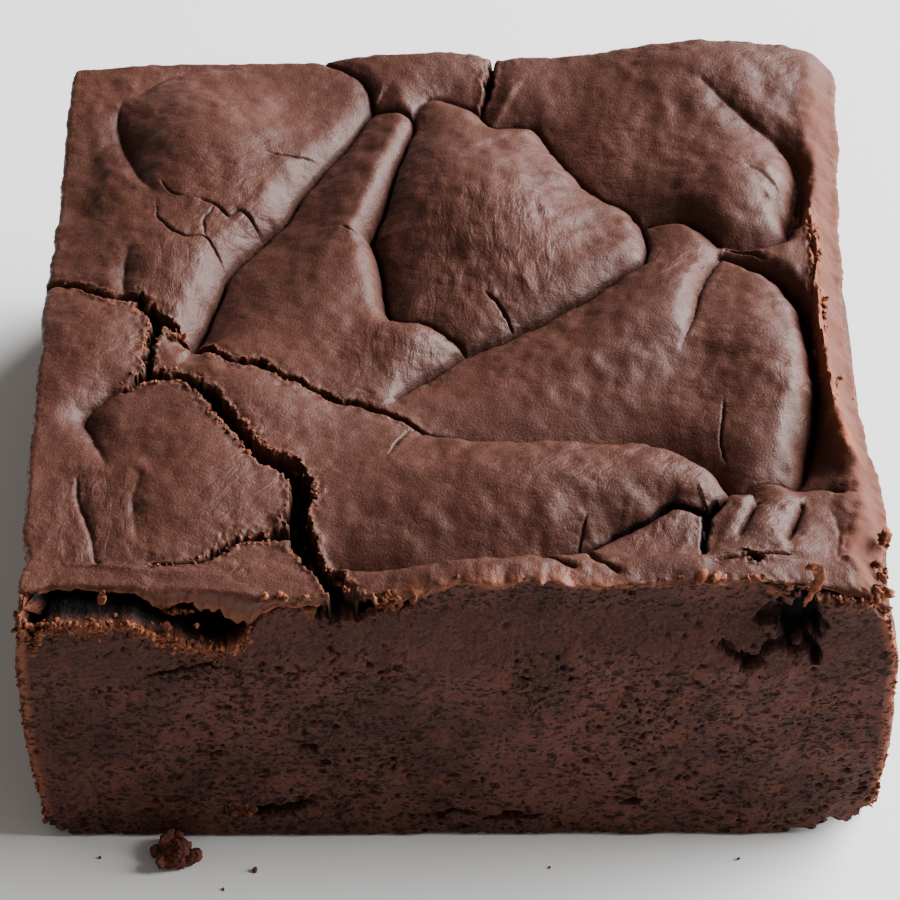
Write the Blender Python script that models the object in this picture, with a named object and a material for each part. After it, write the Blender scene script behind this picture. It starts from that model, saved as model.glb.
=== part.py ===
"""A square chocolate brownie with a folded, cracked crust: one closed solid, resting on its flat base.

X runs to the right, Y to the back and Z up. The origin is on the base, under the middle of the piece.
"""

import bpy
import numpy as np

MM = 0.001

# Driving dimensions
HALF_WIDTH = 35.5 * MM
HALF_DEPTH = 34.8 * MM
EDGE_HEIGHT = 28.3 * MM
CELL = 1.3 * MM
SIDE_ROWS = 5
EDGE_ROLL = 1.4 * MM
EDGE_DROP = 0.9 * MM
BASE_CHAMFER = 1.2 * MM
SIDE_WAVE = 0.1 * MM
TOP_WAVE = 0.08 * MM
SNAP = 0.49 * CELL
# The slope beyond the rim on the right: where it starts, how wide it is and how far it falls
RIM_START = 33.1 * MM
RIM_WIDTH = 2.4 * MM
RIM_FALL = 1.3 * MM
# How far in from a side its outline moves the crust, and over what distance that fades
OUTLINE_REACH = 6.0 * MM
OUTLINE_FADE = 5.0 * MM
BELLY_FADE = 22.0 * MM
# The shares of the height over which the walls turn from foot to belly and from belly to top
FOOT_SHARE, FOOT_RUN = 0.45, 0.4
TOP_SHARE, TOP_RUN = 0.72, 0.25

# Swells and hollows of the crust: middle (x, y), half lengths (x, y), turn in degrees, rise, in mm
SWELLS = {
    "back left dome": (-22.0, 22.0, 8.5, 10.0, 20.0, 2.7),
    "back left shoulder": (-25.0, 6.0, 5.0, 6.0, 0.0, 1.2),
    "left edge": (-37.0, 14.0, 5.5, 15.0, 0.0, -1.1),
    "back strip": (-3.0, 34.0, 10.0, 5.0, 0.0, 1.5),
    "back right dome": (24.0, 31.5, 12.0, 9.0, 0.0, 3.6),
    "back right knob": (7.5, 27.5, 2.6, 4.0, 10.0, 0.9),
    "tongue": (25.5, 15.5, 5.0, 6.0, 0.0, 2.4),
    "long lobe": (-8.5, 10.0, 5.0, 15.0, -15.0, 1.7),
    "long lobe foot": (-4.0, -3.5, 4.0, 3.0, 30.0, 1.3),
    "middle dome": (3.5, 13.0, 7.5, 12.0, 22.0, 3.7),
    "wedge": (17.5, 3.0, 6.0, 7.0, 0.0, 2.3),
    "wedge ridge": (13.0, -5.6, 9.5, 4.4, 24.0, 1.5),
    "wedge right": (22.5, -5.0, 10.0, 7.5, 0.0, 0.8),
    "right dome": (27.0, -6.0, 4.5, 9.5, 0.0, 2.0),
    "front roll": (7.0, -22.3, 15.0, 6.3, 0.0, 2.9),
    "roll end": (17.5, -21.5, 4.0, 3.5, 0.0, 0.9),
    "left block": (-31.5, -3.0, 5.0, 8.0, 0.0, 1.0),
    "front left plate": (-21.0, -19.0, 6.5, 9.0, 0.0, 1.6),
    "strip between cracks": (-16.0, -11.0, 8.0, 3.5, -30.0, 0.9),
    "front lip": (3.0, -34.0, 9.0, 3.2, 0.0, 2.2),
    "front lip right": (21.5, -32.8, 9.5, 4.6, 0.0, 1.7),
    "flap": (15.5, -28.5, 3.5, 2.5, 20.0, 0.8),
    "corner lobes": (25.0, -26.5, 3.5, 4.0, 0.0, 1.0),
    "right rim": (32.8, -3.0, 1.7, 30.0, 0.0, 0.8),
    "gap before right dome": (31.0, -18.0, 2.4, 3.6, 12.0, -1.1),
}

# Creases between the lobes, as routes through (x, y) in mm. Each has its drop at the start, middle
# and end, and the width of the rolled shoulder on its left and on its right, in mm.
CREASES = {
    "dome west": (
        [(-30.5, 29), (-30.7, 26.3), (-29.5, 22.7), (-28.2, 18.6), (-26.9, 16)],
        (0.3, 1.9, 0.3), 5.0, 3.0,
    ),
    "dome back": ([(-15, 37), (-11, 34), (-8.1, 31.4), (-7.2, 28.2)], (0.1, 0.5, 0.8), 1.5, 2.2),
    "dome east": (
        [(-7.2, 28.2), (-9.7, 23.1), (-13.2, 17.2), (-15.1, 13.2), (-19.4, 7.5), (-20.7, 3.1),
         (-22.5, -2.8)],
        (1.3, 2.1, 2.6), 6.0, 2.8,
    ),
    "long top": ([(-7.2, 28.2), (-4.8, 27.6), (-3.5, 26.7)], (1.2, 1.0, 1.0), 1.5, 1.5),
    "middle west": (
        [(-3.5, 26.7), (-3.6, 24.3), (-4.8, 19.9), (-6.7, 11.7), (-7.2, 9.8), (-6.3, 6.8), (-5.3, 0.3),
         (-2, -1.1), (1.1, -4)],
        (1.0, 3.2, 1.0), 4.5, 2.2,
    ),
    "middle back": (
        [(-3.5, 26.7), (-2.5, 28.8), (-0.8, 29.5), (2.3, 28.2), (3.8, 26.2), (6.2, 26.1), (8, 25.2),
         (10, 21.2), (12.6, 17.4), (15.3, 15.5), (17, 12.9)],
        (0.8, 2.4, 1.9), 6.0, 3.0,
    ),
    "wedge top": ([(17, 12.9), (18.4, 13), (21.2, 12.2), (23.6, 9)], (1.9, 2.2, 1.4), 3.0, 2.0),
    "back split": ([(4.2, 37), (3.5, 32.1), (2.7, 28)], (0.3, 1.2, 1.2), 3.0, 1.3),
    "tongue edge": (
        [(23.6, 9), (24.8, 8.6), (26.2, 8.4), (28.3, 8.9), (29.6, 10), (29.6, 12.6), (28.8, 15.5),
         (26, 18.3)],
        (1.4, 2.6, 0.0), 4.2, 1.5,
    ),
    "back right valley": (
        [(23, 29), (25.3, 26.4), (27.9, 24), (29.7, 22.8), (31.1, 20.7), (31.6, 18.3), (31.3, 15.5),
         (30.7, 12)],
        (0.2, 1.4, 2.9), 2.2, 3.0,
    ),
    "wedge back": (
        [(17, 12.9), (17.2, 8), (16.4, 5.7), (13.9, 3.7), (10.2, 1), (5.6, -1.9), (1.1, -4)],
        (1.5, 2.2, 1.3), 7.0, 2.8,
    ),
    "wedge end": ([(1.1, -4), (-1.4, -6.3), (-3.5, -8.2), (-4.9, -9.8)], (1.3, 1.6, 0.8), 6.0, 2.2),
    "wedge fold": ([(23.6, 7.5), (21.8, 3.3), (20.7, -1.7), (19.8, -4.5)], (1.0, 1.8, 0.3), 6.0, 2.0),
    "right edge": (
        [(23.6, 7.5), (25.8, 6.2), (28.1, 4.6), (30, 1.5), (30.9, -2.7), (31.3, -8.6), (30.5, -12.9),
         (29.1, -18.5), (28.1, -20.1)],
        (1.0, 2.8, 2.0), 2.2, 2.6,
    ),
    "roll back": (
        [(-2.5, -14.5), (2.1, -15.3), (11.1, -15.7), (16.6, -16.4), (20.9, -18.6), (23.2, -21.6)],
        (1.1, 3.7, 3.4), 5.5, 2.0,
    ),
    "roll right": (
        [(23.2, -21.6), (24.3, -20.7), (28.1, -20.1), (30.4, -20.8), (32.2, -21.6)],
        (1.6, 2.2, 0.8), 4.5, 1.5,
    ),
    "roll front": (
        [(-9.5, -30.4), (-6.1, -31.1), (-1.3, -31.2), (2, -30.7), (4.7, -30.2), (7, -29.6), (9.8, -28.9),
         (12.2, -27.6), (15.6, -25.7), (17.5, -24.5), (19, -24.6), (20.5, -25), (21.4, -24.2),
         (23.2, -21.6)],
        (2.2, 3.2, 1.9), 5.0, 1.5,
    ),
    "corner fold": ([(24.8, -23.6), (24.1, -25.3), (23.1, -27.8)], (0.5, 0.9, 0.5), 2.0, 1.3),
    "outer corner fold": ([(28.5, -23.6), (27.6, -26.3), (27, -27.9)], (0.5, 1.2, 0.5), 2.5, 1.3),
    "plate dip": (
        [(-27.9, -9), (-29.4, -9.6), (-31.2, -12), (-30.4, -14.5), (-29, -18.3)],
        (1.0, 1.8, 0.2), 3.5, 3.0,
    ),
}

# Open cracks, as routes, with their depth at the start, middle and end, and their half width, in mm
CRACKS = {
    "crack left": (
        [(-36, 5), (-34.2, 4.5), (-31.8, 3.6), (-29.7, 1.9), (-27.6, 1.6), (-26.1, -0.1), (-22.5, -2.8),
         (-18.7, -6), (-16.6, -6.7), (-10.6, -10.4), (-7.8, -11.1), (-2.5, -14.5)],
        (2.5, 3.0, 0.8), 2.4,
    ),
    "crack tear": ([(-25.6, -0.6), (-26, -3.7), (-26.3, -7.3), (-27.7, -9.3)], (2.5, 1.8, 2.5), 2.2),
    "crack front": (
        [(-28, -9.2), (-26.5, -7.9), (-24.3, -8), (-22.4, -8.6), (-17.9, -15.5), (-16, -18), (-14.1, -19.1),
         (-12.3, -22.5), (-13.1, -26), (-10.1, -32.3), (-8.5, -36)],
        (2.5, 4.0, 3.0), 3.0,
    ),
    "plate crack": (
        [(-24.4, -30.5), (-21.2, -30), (-19.5, -28.9), (-17.4, -27.5), (-14.6, -27.1), (-13.1, -26)],
        (0.5, 1.2, 2.0), 2.0,
    ),
    "flap back": (
        [(9.8, -28.9), (12.2, -27.6), (15.6, -25.7), (17.5, -24.5), (19, -24.6), (20.5, -25), (21.4, -24.2)],
        (1.0, 1.9, 2.2), 1.6,
    ),
    "flap right": ([(21.4, -24.2), (20.6, -25.4), (20.3, -27.6), (20, -30.7)], (2.0, 1.5, 0.6), 2.0),
}

# How far the crust's edge stands out (+) or in (-) of the straight cut on each side, at places
# along it, in mm
TOP_OUTLINE = {
    "left": [(-34.8, -0.3), (-28.8, -0.9), (-25, -0.3), (5, 0.0), (18, -0.3), (34.8, -0.3)],
    "right": [(-34.8, -0.5), (-29.3, -1.4), (-25.4, -0.1), (-18.5, -0.3), (-9, -1.4), (3, -1.6), (17, -0.9),
              (34.8, 0.0)],
    "front": [(-35.5, -1.2), (-28, -2.5), (-15, -1.0), (-4, -1.2), (6, -1.6), (24, -1.9), (35.5, -1.0)],
    "back": [(-35.5, 0.0), (0, 0.2), (35.5, 0.0)],
}
# The same for the walls lower down: at mid height at the two ends of the side, and at the foot
WALL_OUTLINE = {
    "left": (0.3, -0.1, -0.5),
    "right": (0.6, -0.3, 0.1),
    "front": (0.0, 0.0, -0.1),
    "back": (0.1, 0.1, 0.0),
}
ROUTE_STEPS = 6
BLEND_POWER = 3.0


def smooth_route(points):
    """A curve through the points (Catmull-Rom), as an array of places along it."""
    stops = np.array(points, float) * MM
    ends = np.vstack([2 * stops[0] - stops[1], stops, 2 * stops[-1] - stops[-2]])
    t = np.linspace(0, 1, ROUTE_STEPS, endpoint=False)[:, None]
    pieces = [
        0.5 * (
            2 * b
            + (c - a) * t
            + (2 * a - 5 * b + 4 * c - d) * t**2
            + (3 * b - a - 3 * c + d) * t**3
        )
        for a, b, c, d in zip(ends, ends[1:], ends[2:], ends[3:])
    ]
    return np.vstack(pieces + [stops[-1:]])


def nearest_on(route, places):
    """For each place: its distance from the route, its side (+1 left, -1 right), how far along the
    route it is, and the nearest spot on the route."""
    distance = np.full(len(places), np.inf)
    side = np.ones(len(places))
    along = np.zeros(len(places))
    foot = places.copy()
    for index, (a, b) in enumerate(zip(route, route[1:])):
        run = b - a
        t = np.clip((places - a) @ run / (run @ run), 0, 1)
        at = a + t[:, None] * run
        away = places - at
        d = np.hypot(away[:, 0], away[:, 1])
        closer = d < distance
        distance[closer] = d[closer]
        turn = run[0] * (places[:, 1] - a[1]) - run[1] * (places[:, 0] - a[0])
        side[closer] = np.where(turn >= 0, 1, -1)[closer]
        along[closer] = ((index + t) / (len(route) - 1))[closer]
        foot[closer] = at[closer]
    return distance, side, along, foot


def shoulder(t):
    """The drop of a rolled edge: 1 at the crease, rounding out to 0 at its full width."""
    inward = 1 - np.clip(t, 0, 1)
    return 1 - np.sqrt(1 - inward**2)


def eased(t):
    """Eases from 0 to 1 as t goes from 0 to 1."""
    t = np.clip(t, 0, 1)
    return t * t * (3 - 2 * t)


def wave(places, seed):
    """A gentle unevenness between -1 and 1, from a few sine waves in directions set by the seed."""
    rng = np.random.default_rng(seed)
    total = np.zeros(len(places))
    for length in (31 * MM, 17 * MM, 9 * MM, 5 * MM):
        angle, phase = rng.uniform(0, 2 * np.pi, 2)
        across = places @ np.array([np.cos(angle), np.sin(angle)])
        total += np.sin(across * 2 * np.pi / length + phase) * length / (62 * MM)
    return total


def swell_height(places):
    """The height of the lobes over the edge height, without their creases."""
    total = np.zeros(len(places))
    for x, y, long, wide, turn, rise in SWELLS.values():
        angle = np.radians(turn)
        off = places - np.array([x, y]) * MM
        u = (off[:, 0] * np.cos(angle) + off[:, 1] * np.sin(angle)) / (long * MM)
        v = (off[:, 1] * np.cos(angle) - off[:, 0] * np.sin(angle)) / (wide * MM)
        total += rise * MM * np.exp(-(u**2 + v**2))
    return total


def crease_drop(places):
    """How far the creases and cracks pull the crust down at each place."""
    total = np.zeros(len(places))
    for points, drops, left, right in CREASES.values():
        distance, side, along, _ = nearest_on(smooth_route(points), places)
        drop = np.interp(along, (0, 0.5, 1), drops) * MM
        width = np.where(side > 0, left, right) * MM
        total += (drop * shoulder(distance / width)) ** BLEND_POWER
    for points, depths, half_width in CRACKS.values():
        distance, _, along, _ = nearest_on(smooth_route(points), places)
        depth = np.interp(along, (0, 0.5, 1), depths) * MM
        total += (depth * shoulder(distance / (half_width * MM))) ** BLEND_POWER
    return total ** (1 / BLEND_POWER)


def snapped_to_creases(places):
    """The places, with those close to a crease moved onto it, so that a crease stays one clean line."""
    best = np.full(len(places), SNAP)
    moved = places.copy()
    for points, *_ in [*CREASES.values(), *CRACKS.values()]:
        distance, _, _, foot = nearest_on(smooth_route(points), places)
        closer = distance < best
        best[closer] = distance[closer]
        moved[closer] = foot[closer]
    return moved


def side_shift(x, y, share):
    """How far the cut sides move the places, along X and along Y. share is the height's share of the
    edge height."""
    top = eased((share - TOP_SHARE) / TOP_RUN)
    foot = eased((FOOT_SHARE - share) / FOOT_RUN)
    middle = 1 - top - foot
    shifts = {}
    for seed, (side, along) in enumerate((("left", y), ("right", y), ("front", x), ("back", x))):
        places, amounts = zip(*TOP_OUTLINE[side])
        rim = np.interp(along / MM, places, amounts)
        near_end, far_end, bottom = WALL_OUTLINE[side]
        belly = near_end + (far_end - near_end) * eased((along + HALF_DEPTH) / BELLY_FADE)
        shifts[side] = (top * rim + middle * belly + foot * bottom) * MM
        shifts[side] += SIDE_WAVE * wave(np.stack([along, share * EDGE_HEIGHT], 1), seed)
    near_x = eased((np.abs(x) - HALF_WIDTH + OUTLINE_REACH) / OUTLINE_FADE)
    near_y = eased((np.abs(y) - HALF_DEPTH + OUTLINE_REACH) / OUTLINE_FADE)
    return (
        np.where(x < 0, -shifts["left"], shifts["right"]) * near_x,
        np.where(y < 0, -shifts["front"], shifts["back"]) * near_y,
    )


def plan_places(columns, rows):
    """The corners of the top's cells, from front left to back right, and whether each is on the edge."""
    u, v = np.meshgrid(np.linspace(-1, 1, columns + 1), np.linspace(-1, 1, rows + 1))
    places = np.stack([u.ravel() * HALF_WIDTH, v.ravel() * HALF_DEPTH], 1)
    on_edge = (np.abs(u.ravel()) == 1) | (np.abs(v.ravel()) == 1)
    return places, on_edge


def top_heights(places):
    """The height of the crust at each place."""
    inset = np.minimum(HALF_WIDTH - np.abs(places[:, 0]), HALF_DEPTH - np.abs(places[:, 1]))
    height = EDGE_HEIGHT + swell_height(places) - crease_drop(places)
    height += TOP_WAVE * wave(places, 7)
    height -= RIM_FALL * eased((places[:, 0] - RIM_START) / RIM_WIDTH)
    return height - EDGE_DROP * shoulder(inset / EDGE_ROLL)


def edge_ring(columns, rows):
    """The vertex numbers round the top's edge, anticlockwise from above."""
    wide = columns + 1
    front = list(range(columns))
    right = [row * wide + columns for row in range(rows)]
    back = [rows * wide + column for column in range(columns, 0, -1)]
    left = [row * wide for row in range(rows, 0, -1)]
    return front + right + back + left


def top_faces(columns, rows, heights):
    """Two triangles for each cell, split along its lower diagonal, so that a crease runs on unbroken."""
    wide = columns + 1
    faces = []
    for row in range(rows):
        for column in range(columns):
            a = row * wide + column
            b, c, d = a + 1, a + wide + 1, a + wide
            if heights[a] + heights[c] < heights[b] + heights[d]:
                faces += [(a, b, c), (a, c, d)]
            else:
                faces += [(a, b, d), (b, c, d)]
    return faces


def brownie_mesh():
    """The closed mesh: the folded top, the cut sides in rows, and the flat base."""
    columns = round(2 * HALF_WIDTH / CELL)
    rows = round(2 * HALF_DEPTH / CELL)
    places, on_edge = plan_places(columns, rows)
    moved = snapped_to_creases(places)
    moved[on_edge] = places[on_edge]
    heights = top_heights(moved)
    shift_x, shift_y = side_shift(moved[:, 0], moved[:, 1], np.ones(len(moved)))
    points = [np.column_stack([moved[:, 0] + shift_x, moved[:, 1] + shift_y, heights])]
    faces = top_faces(columns, rows, heights)
    ring = edge_ring(columns, rows)
    x, y = places[ring].T
    rim_height = heights[ring]
    above = ring
    first = len(places)
    for level in range(1, SIDE_ROWS + 1):
        z = (rim_height - BASE_CHAMFER) * (1 - level / SIDE_ROWS) + BASE_CHAMFER
        shift_x, shift_y = side_shift(x, y, z / EDGE_HEIGHT)
        points.append(np.column_stack([x + shift_x, y + shift_y, z]))
        below = list(range(first, first + len(ring)))
        faces += side_quads(above, below)
        above = below
        first += len(ring)
    inward = 1 - BASE_CHAMFER / 2 / np.array([HALF_WIDTH, HALF_DEPTH])
    base = list(range(first, first + len(ring)))
    points.append(np.column_stack([points[-1][:, :2] * inward, np.zeros(len(ring))]))
    faces += side_quads(above, base)
    faces.append(tuple(reversed(base)))
    points = np.vstack(points)
    middle = (points.min(axis=0) + points.max(axis=0)) / 2
    points[:, :2] -= middle[:2]
    mesh = bpy.data.meshes.new("brownie")
    mesh.from_pydata(points.tolist(), [], faces)
    mesh.validate()
    return mesh


def side_quads(above, below):
    """The ring of faces between two loops of vertices, facing outwards."""
    count = len(above)
    return [
        (above[i], below[i], below[(i + 1) % count], above[(i + 1) % count])
        for i in range(count)
    ]


def crust_material():
    """Dark cocoa crust, half matt."""
    material = bpy.data.materials.new("crust")
    material.use_nodes = True
    shader = material.node_tree.nodes["Principled BSDF"]
    shader.inputs["Base Color"].default_value = (0.085, 0.037, 0.024, 1)
    shader.inputs["Roughness"].default_value = 0.5
    shader.inputs["Metallic"].default_value = 0.0
    return material


def main():
    for item in list(bpy.data.objects):
        bpy.data.objects.remove(item)
    brownie = bpy.data.objects.new("brownie", brownie_mesh())
    bpy.context.scene.collection.objects.link(brownie)
    brownie.data.materials.append(crust_material())
    brownie.data.shade_smooth()
    brownie.data.set_sharp_from_angle(angle=np.radians(50))


main()
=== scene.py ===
"""A square chocolate brownie: its folded crust, cut crumb walls and loose crumbs, built round the model.

X runs to the right, Y to the back and Z up, and the origin is on the base under the middle of the piece.
Lengths in the tables and in the shape functions are in millimetres. Meshes are written in metres.
"""

import bpy
import numpy as np
from bpy.props import FloatProperty, FloatVectorProperty, PointerProperty
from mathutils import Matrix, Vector


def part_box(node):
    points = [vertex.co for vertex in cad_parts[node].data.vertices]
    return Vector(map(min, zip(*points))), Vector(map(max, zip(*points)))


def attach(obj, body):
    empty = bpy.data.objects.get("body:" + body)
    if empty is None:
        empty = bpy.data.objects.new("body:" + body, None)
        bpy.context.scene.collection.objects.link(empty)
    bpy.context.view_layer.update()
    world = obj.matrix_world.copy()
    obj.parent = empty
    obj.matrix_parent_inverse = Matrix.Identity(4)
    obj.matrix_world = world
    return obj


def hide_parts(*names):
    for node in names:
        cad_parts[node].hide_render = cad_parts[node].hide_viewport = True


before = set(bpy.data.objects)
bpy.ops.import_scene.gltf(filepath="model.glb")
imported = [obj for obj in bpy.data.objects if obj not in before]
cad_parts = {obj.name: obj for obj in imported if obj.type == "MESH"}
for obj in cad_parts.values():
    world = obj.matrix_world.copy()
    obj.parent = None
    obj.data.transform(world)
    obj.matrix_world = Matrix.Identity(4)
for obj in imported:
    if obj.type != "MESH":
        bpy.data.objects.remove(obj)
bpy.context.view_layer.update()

bl_info = {
    "name": "Chocolate brownie",
    "version": (1, 0, 0),
    "blender": (4, 5, 0),
    "location": "View3D > Sidebar > Brownie",
    "description": "Builds a square chocolate brownie with a folded, cracked crust",
    "category": "Add Mesh",
}

MM = 0.001
LOW, HIGH = (np.array(corner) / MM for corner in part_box("brownie"))
# How far the walls bulge out of a straight cut along X and along Y, and the rim's share of the whole height
BULGE_X, BULGE_Y = 0.44, 0.09
RIM_SHARE = 0.884
HALF_WIDTH = (HIGH[0] - LOW[0]) / 2 - BULGE_X
HALF_DEPTH = (HIGH[1] - LOW[1]) / 2 - BULGE_Y
HALF_SIDES = np.array([HALF_WIDTH, HALF_DEPTH])
EDGE_HEIGHT = RIM_SHARE * HIGH[2]
BODY = "root"
NODE = "brownie"
# Edges that turn by more than this, in degrees, are shaded sharp
SHARP_ANGLE = 70

# The crust's edge: the radius of its roll, how far it hangs, and the small roll of its lower border
EDGE_ROLL = 0.35
EDGE_HANG = 0.8
EDGE_TUCK = 0.2
EDGE_BACK = 0.35
CORNER_ROUND = 0.6
# Depths of the hidden undersides, and how far in they lie
CRUST_UNDERSIDE = 21.5
CRUMB_TOP = 21.0
HIDDEN_INSET = 8.0
SKIRT_INSET = 2.0
SKIRT_DROP = 0.4
CRUMB_INSET = 4.0
PLAIN_HEIGHT = 26.0
JUNCTION = 7.0

# Swells and hollows of the crust: middle (x, y), half lengths (x, y), turn in degrees, rise
SWELLS = {
    "back left dome": (-22.0, 22.0, 8.5, 10.0, 20.0, 2.7),
    "back left shoulder": (-25.0, 6.0, 5.0, 6.0, 0.0, 1.2),
    "left edge": (-37.0, 14.0, 5.5, 15.0, 0.0, -1.1),
    "left edge hollow": (-33.0, 21.5, 2.2, 3.0, -20.0, -0.7),
    "left edge hollow in front": (-33.5, 15.0, 1.8, 1.5, 0.0, -0.5),
    "back strip": (-3.0, 34.0, 10.0, 5.0, 0.0, 1.5),
    "back right dome": (24.0, 31.5, 12.0, 9.0, 0.0, 3.6),
    "back right knob": (7.5, 27.5, 2.6, 4.0, 10.0, 0.9),
    "tongue": (25.5, 15.5, 5.0, 6.0, 0.0, 2.4),
    "long lobe": (-8.5, 10.0, 5.0, 15.0, -15.0, 1.7),
    "long lobe foot": (-4.0, -3.5, 4.0, 3.0, 30.0, 1.3),
    "middle dome": (3.5, 13.0, 7.5, 12.0, 22.0, 3.7),
    "wedge": (17.5, 3.0, 6.0, 7.0, 0.0, 2.3),
    "wedge ridge": (13.0, -5.6, 9.5, 4.4, 24.0, 1.5),
    "wedge right": (22.5, -5.0, 10.0, 7.5, 0.0, 0.8),
    "right dome": (27.0, -6.0, 4.5, 9.5, 0.0, 2.0),
    "lump by the rim": (29.6, 6.8, 2.8, 3.5, 0.0, 1.0),
    "front roll": (7.0, -22.3, 15.0, 6.3, 0.0, 2.9),
    "roll end": (17.5, -21.5, 4.0, 3.5, 0.0, 0.9),
    "left block": (-31.5, -3.0, 5.0, 8.0, 0.0, 1.0),
    "front left plate": (-21.0, -19.0, 6.5, 9.0, 0.0, 1.6),
    "strip between cracks": (-16.0, -11.0, 8.0, 3.5, -30.0, 0.9),
    "front lip": (3.0, -34.0, 9.0, 3.2, 0.0, 2.2),
    "front lip right": (21.5, -32.8, 9.5, 4.6, 0.0, 1.7),
    "flap": (15.5, -27.8, 4.5, 2.2, 25.0, -0.45),
    "corner lobes": (25.0, -26.5, 3.5, 4.0, 0.0, 1.0),
    "right rim": (32.8, -3.0, 1.7, 30.0, 0.0, 0.8),
    "gap before right dome": (31.0, -18.0, 2.4, 3.6, 12.0, -1.1),
}


def crease(route, drop, left, right, floor=(0, 0, 0), nip=1.0):
    """A crease along a route: how far the skin drops to it, how wide the slopes on its left and right are
    and the half width of its floor, at its start, middle and end, and how sharp the line in it is."""
    left, right = (np.broadcast_to(width, 3) for width in (left, right))
    return {"route": route, "drop": drop, "left": left, "right": right, "floor": floor, "nip": nip}


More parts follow.
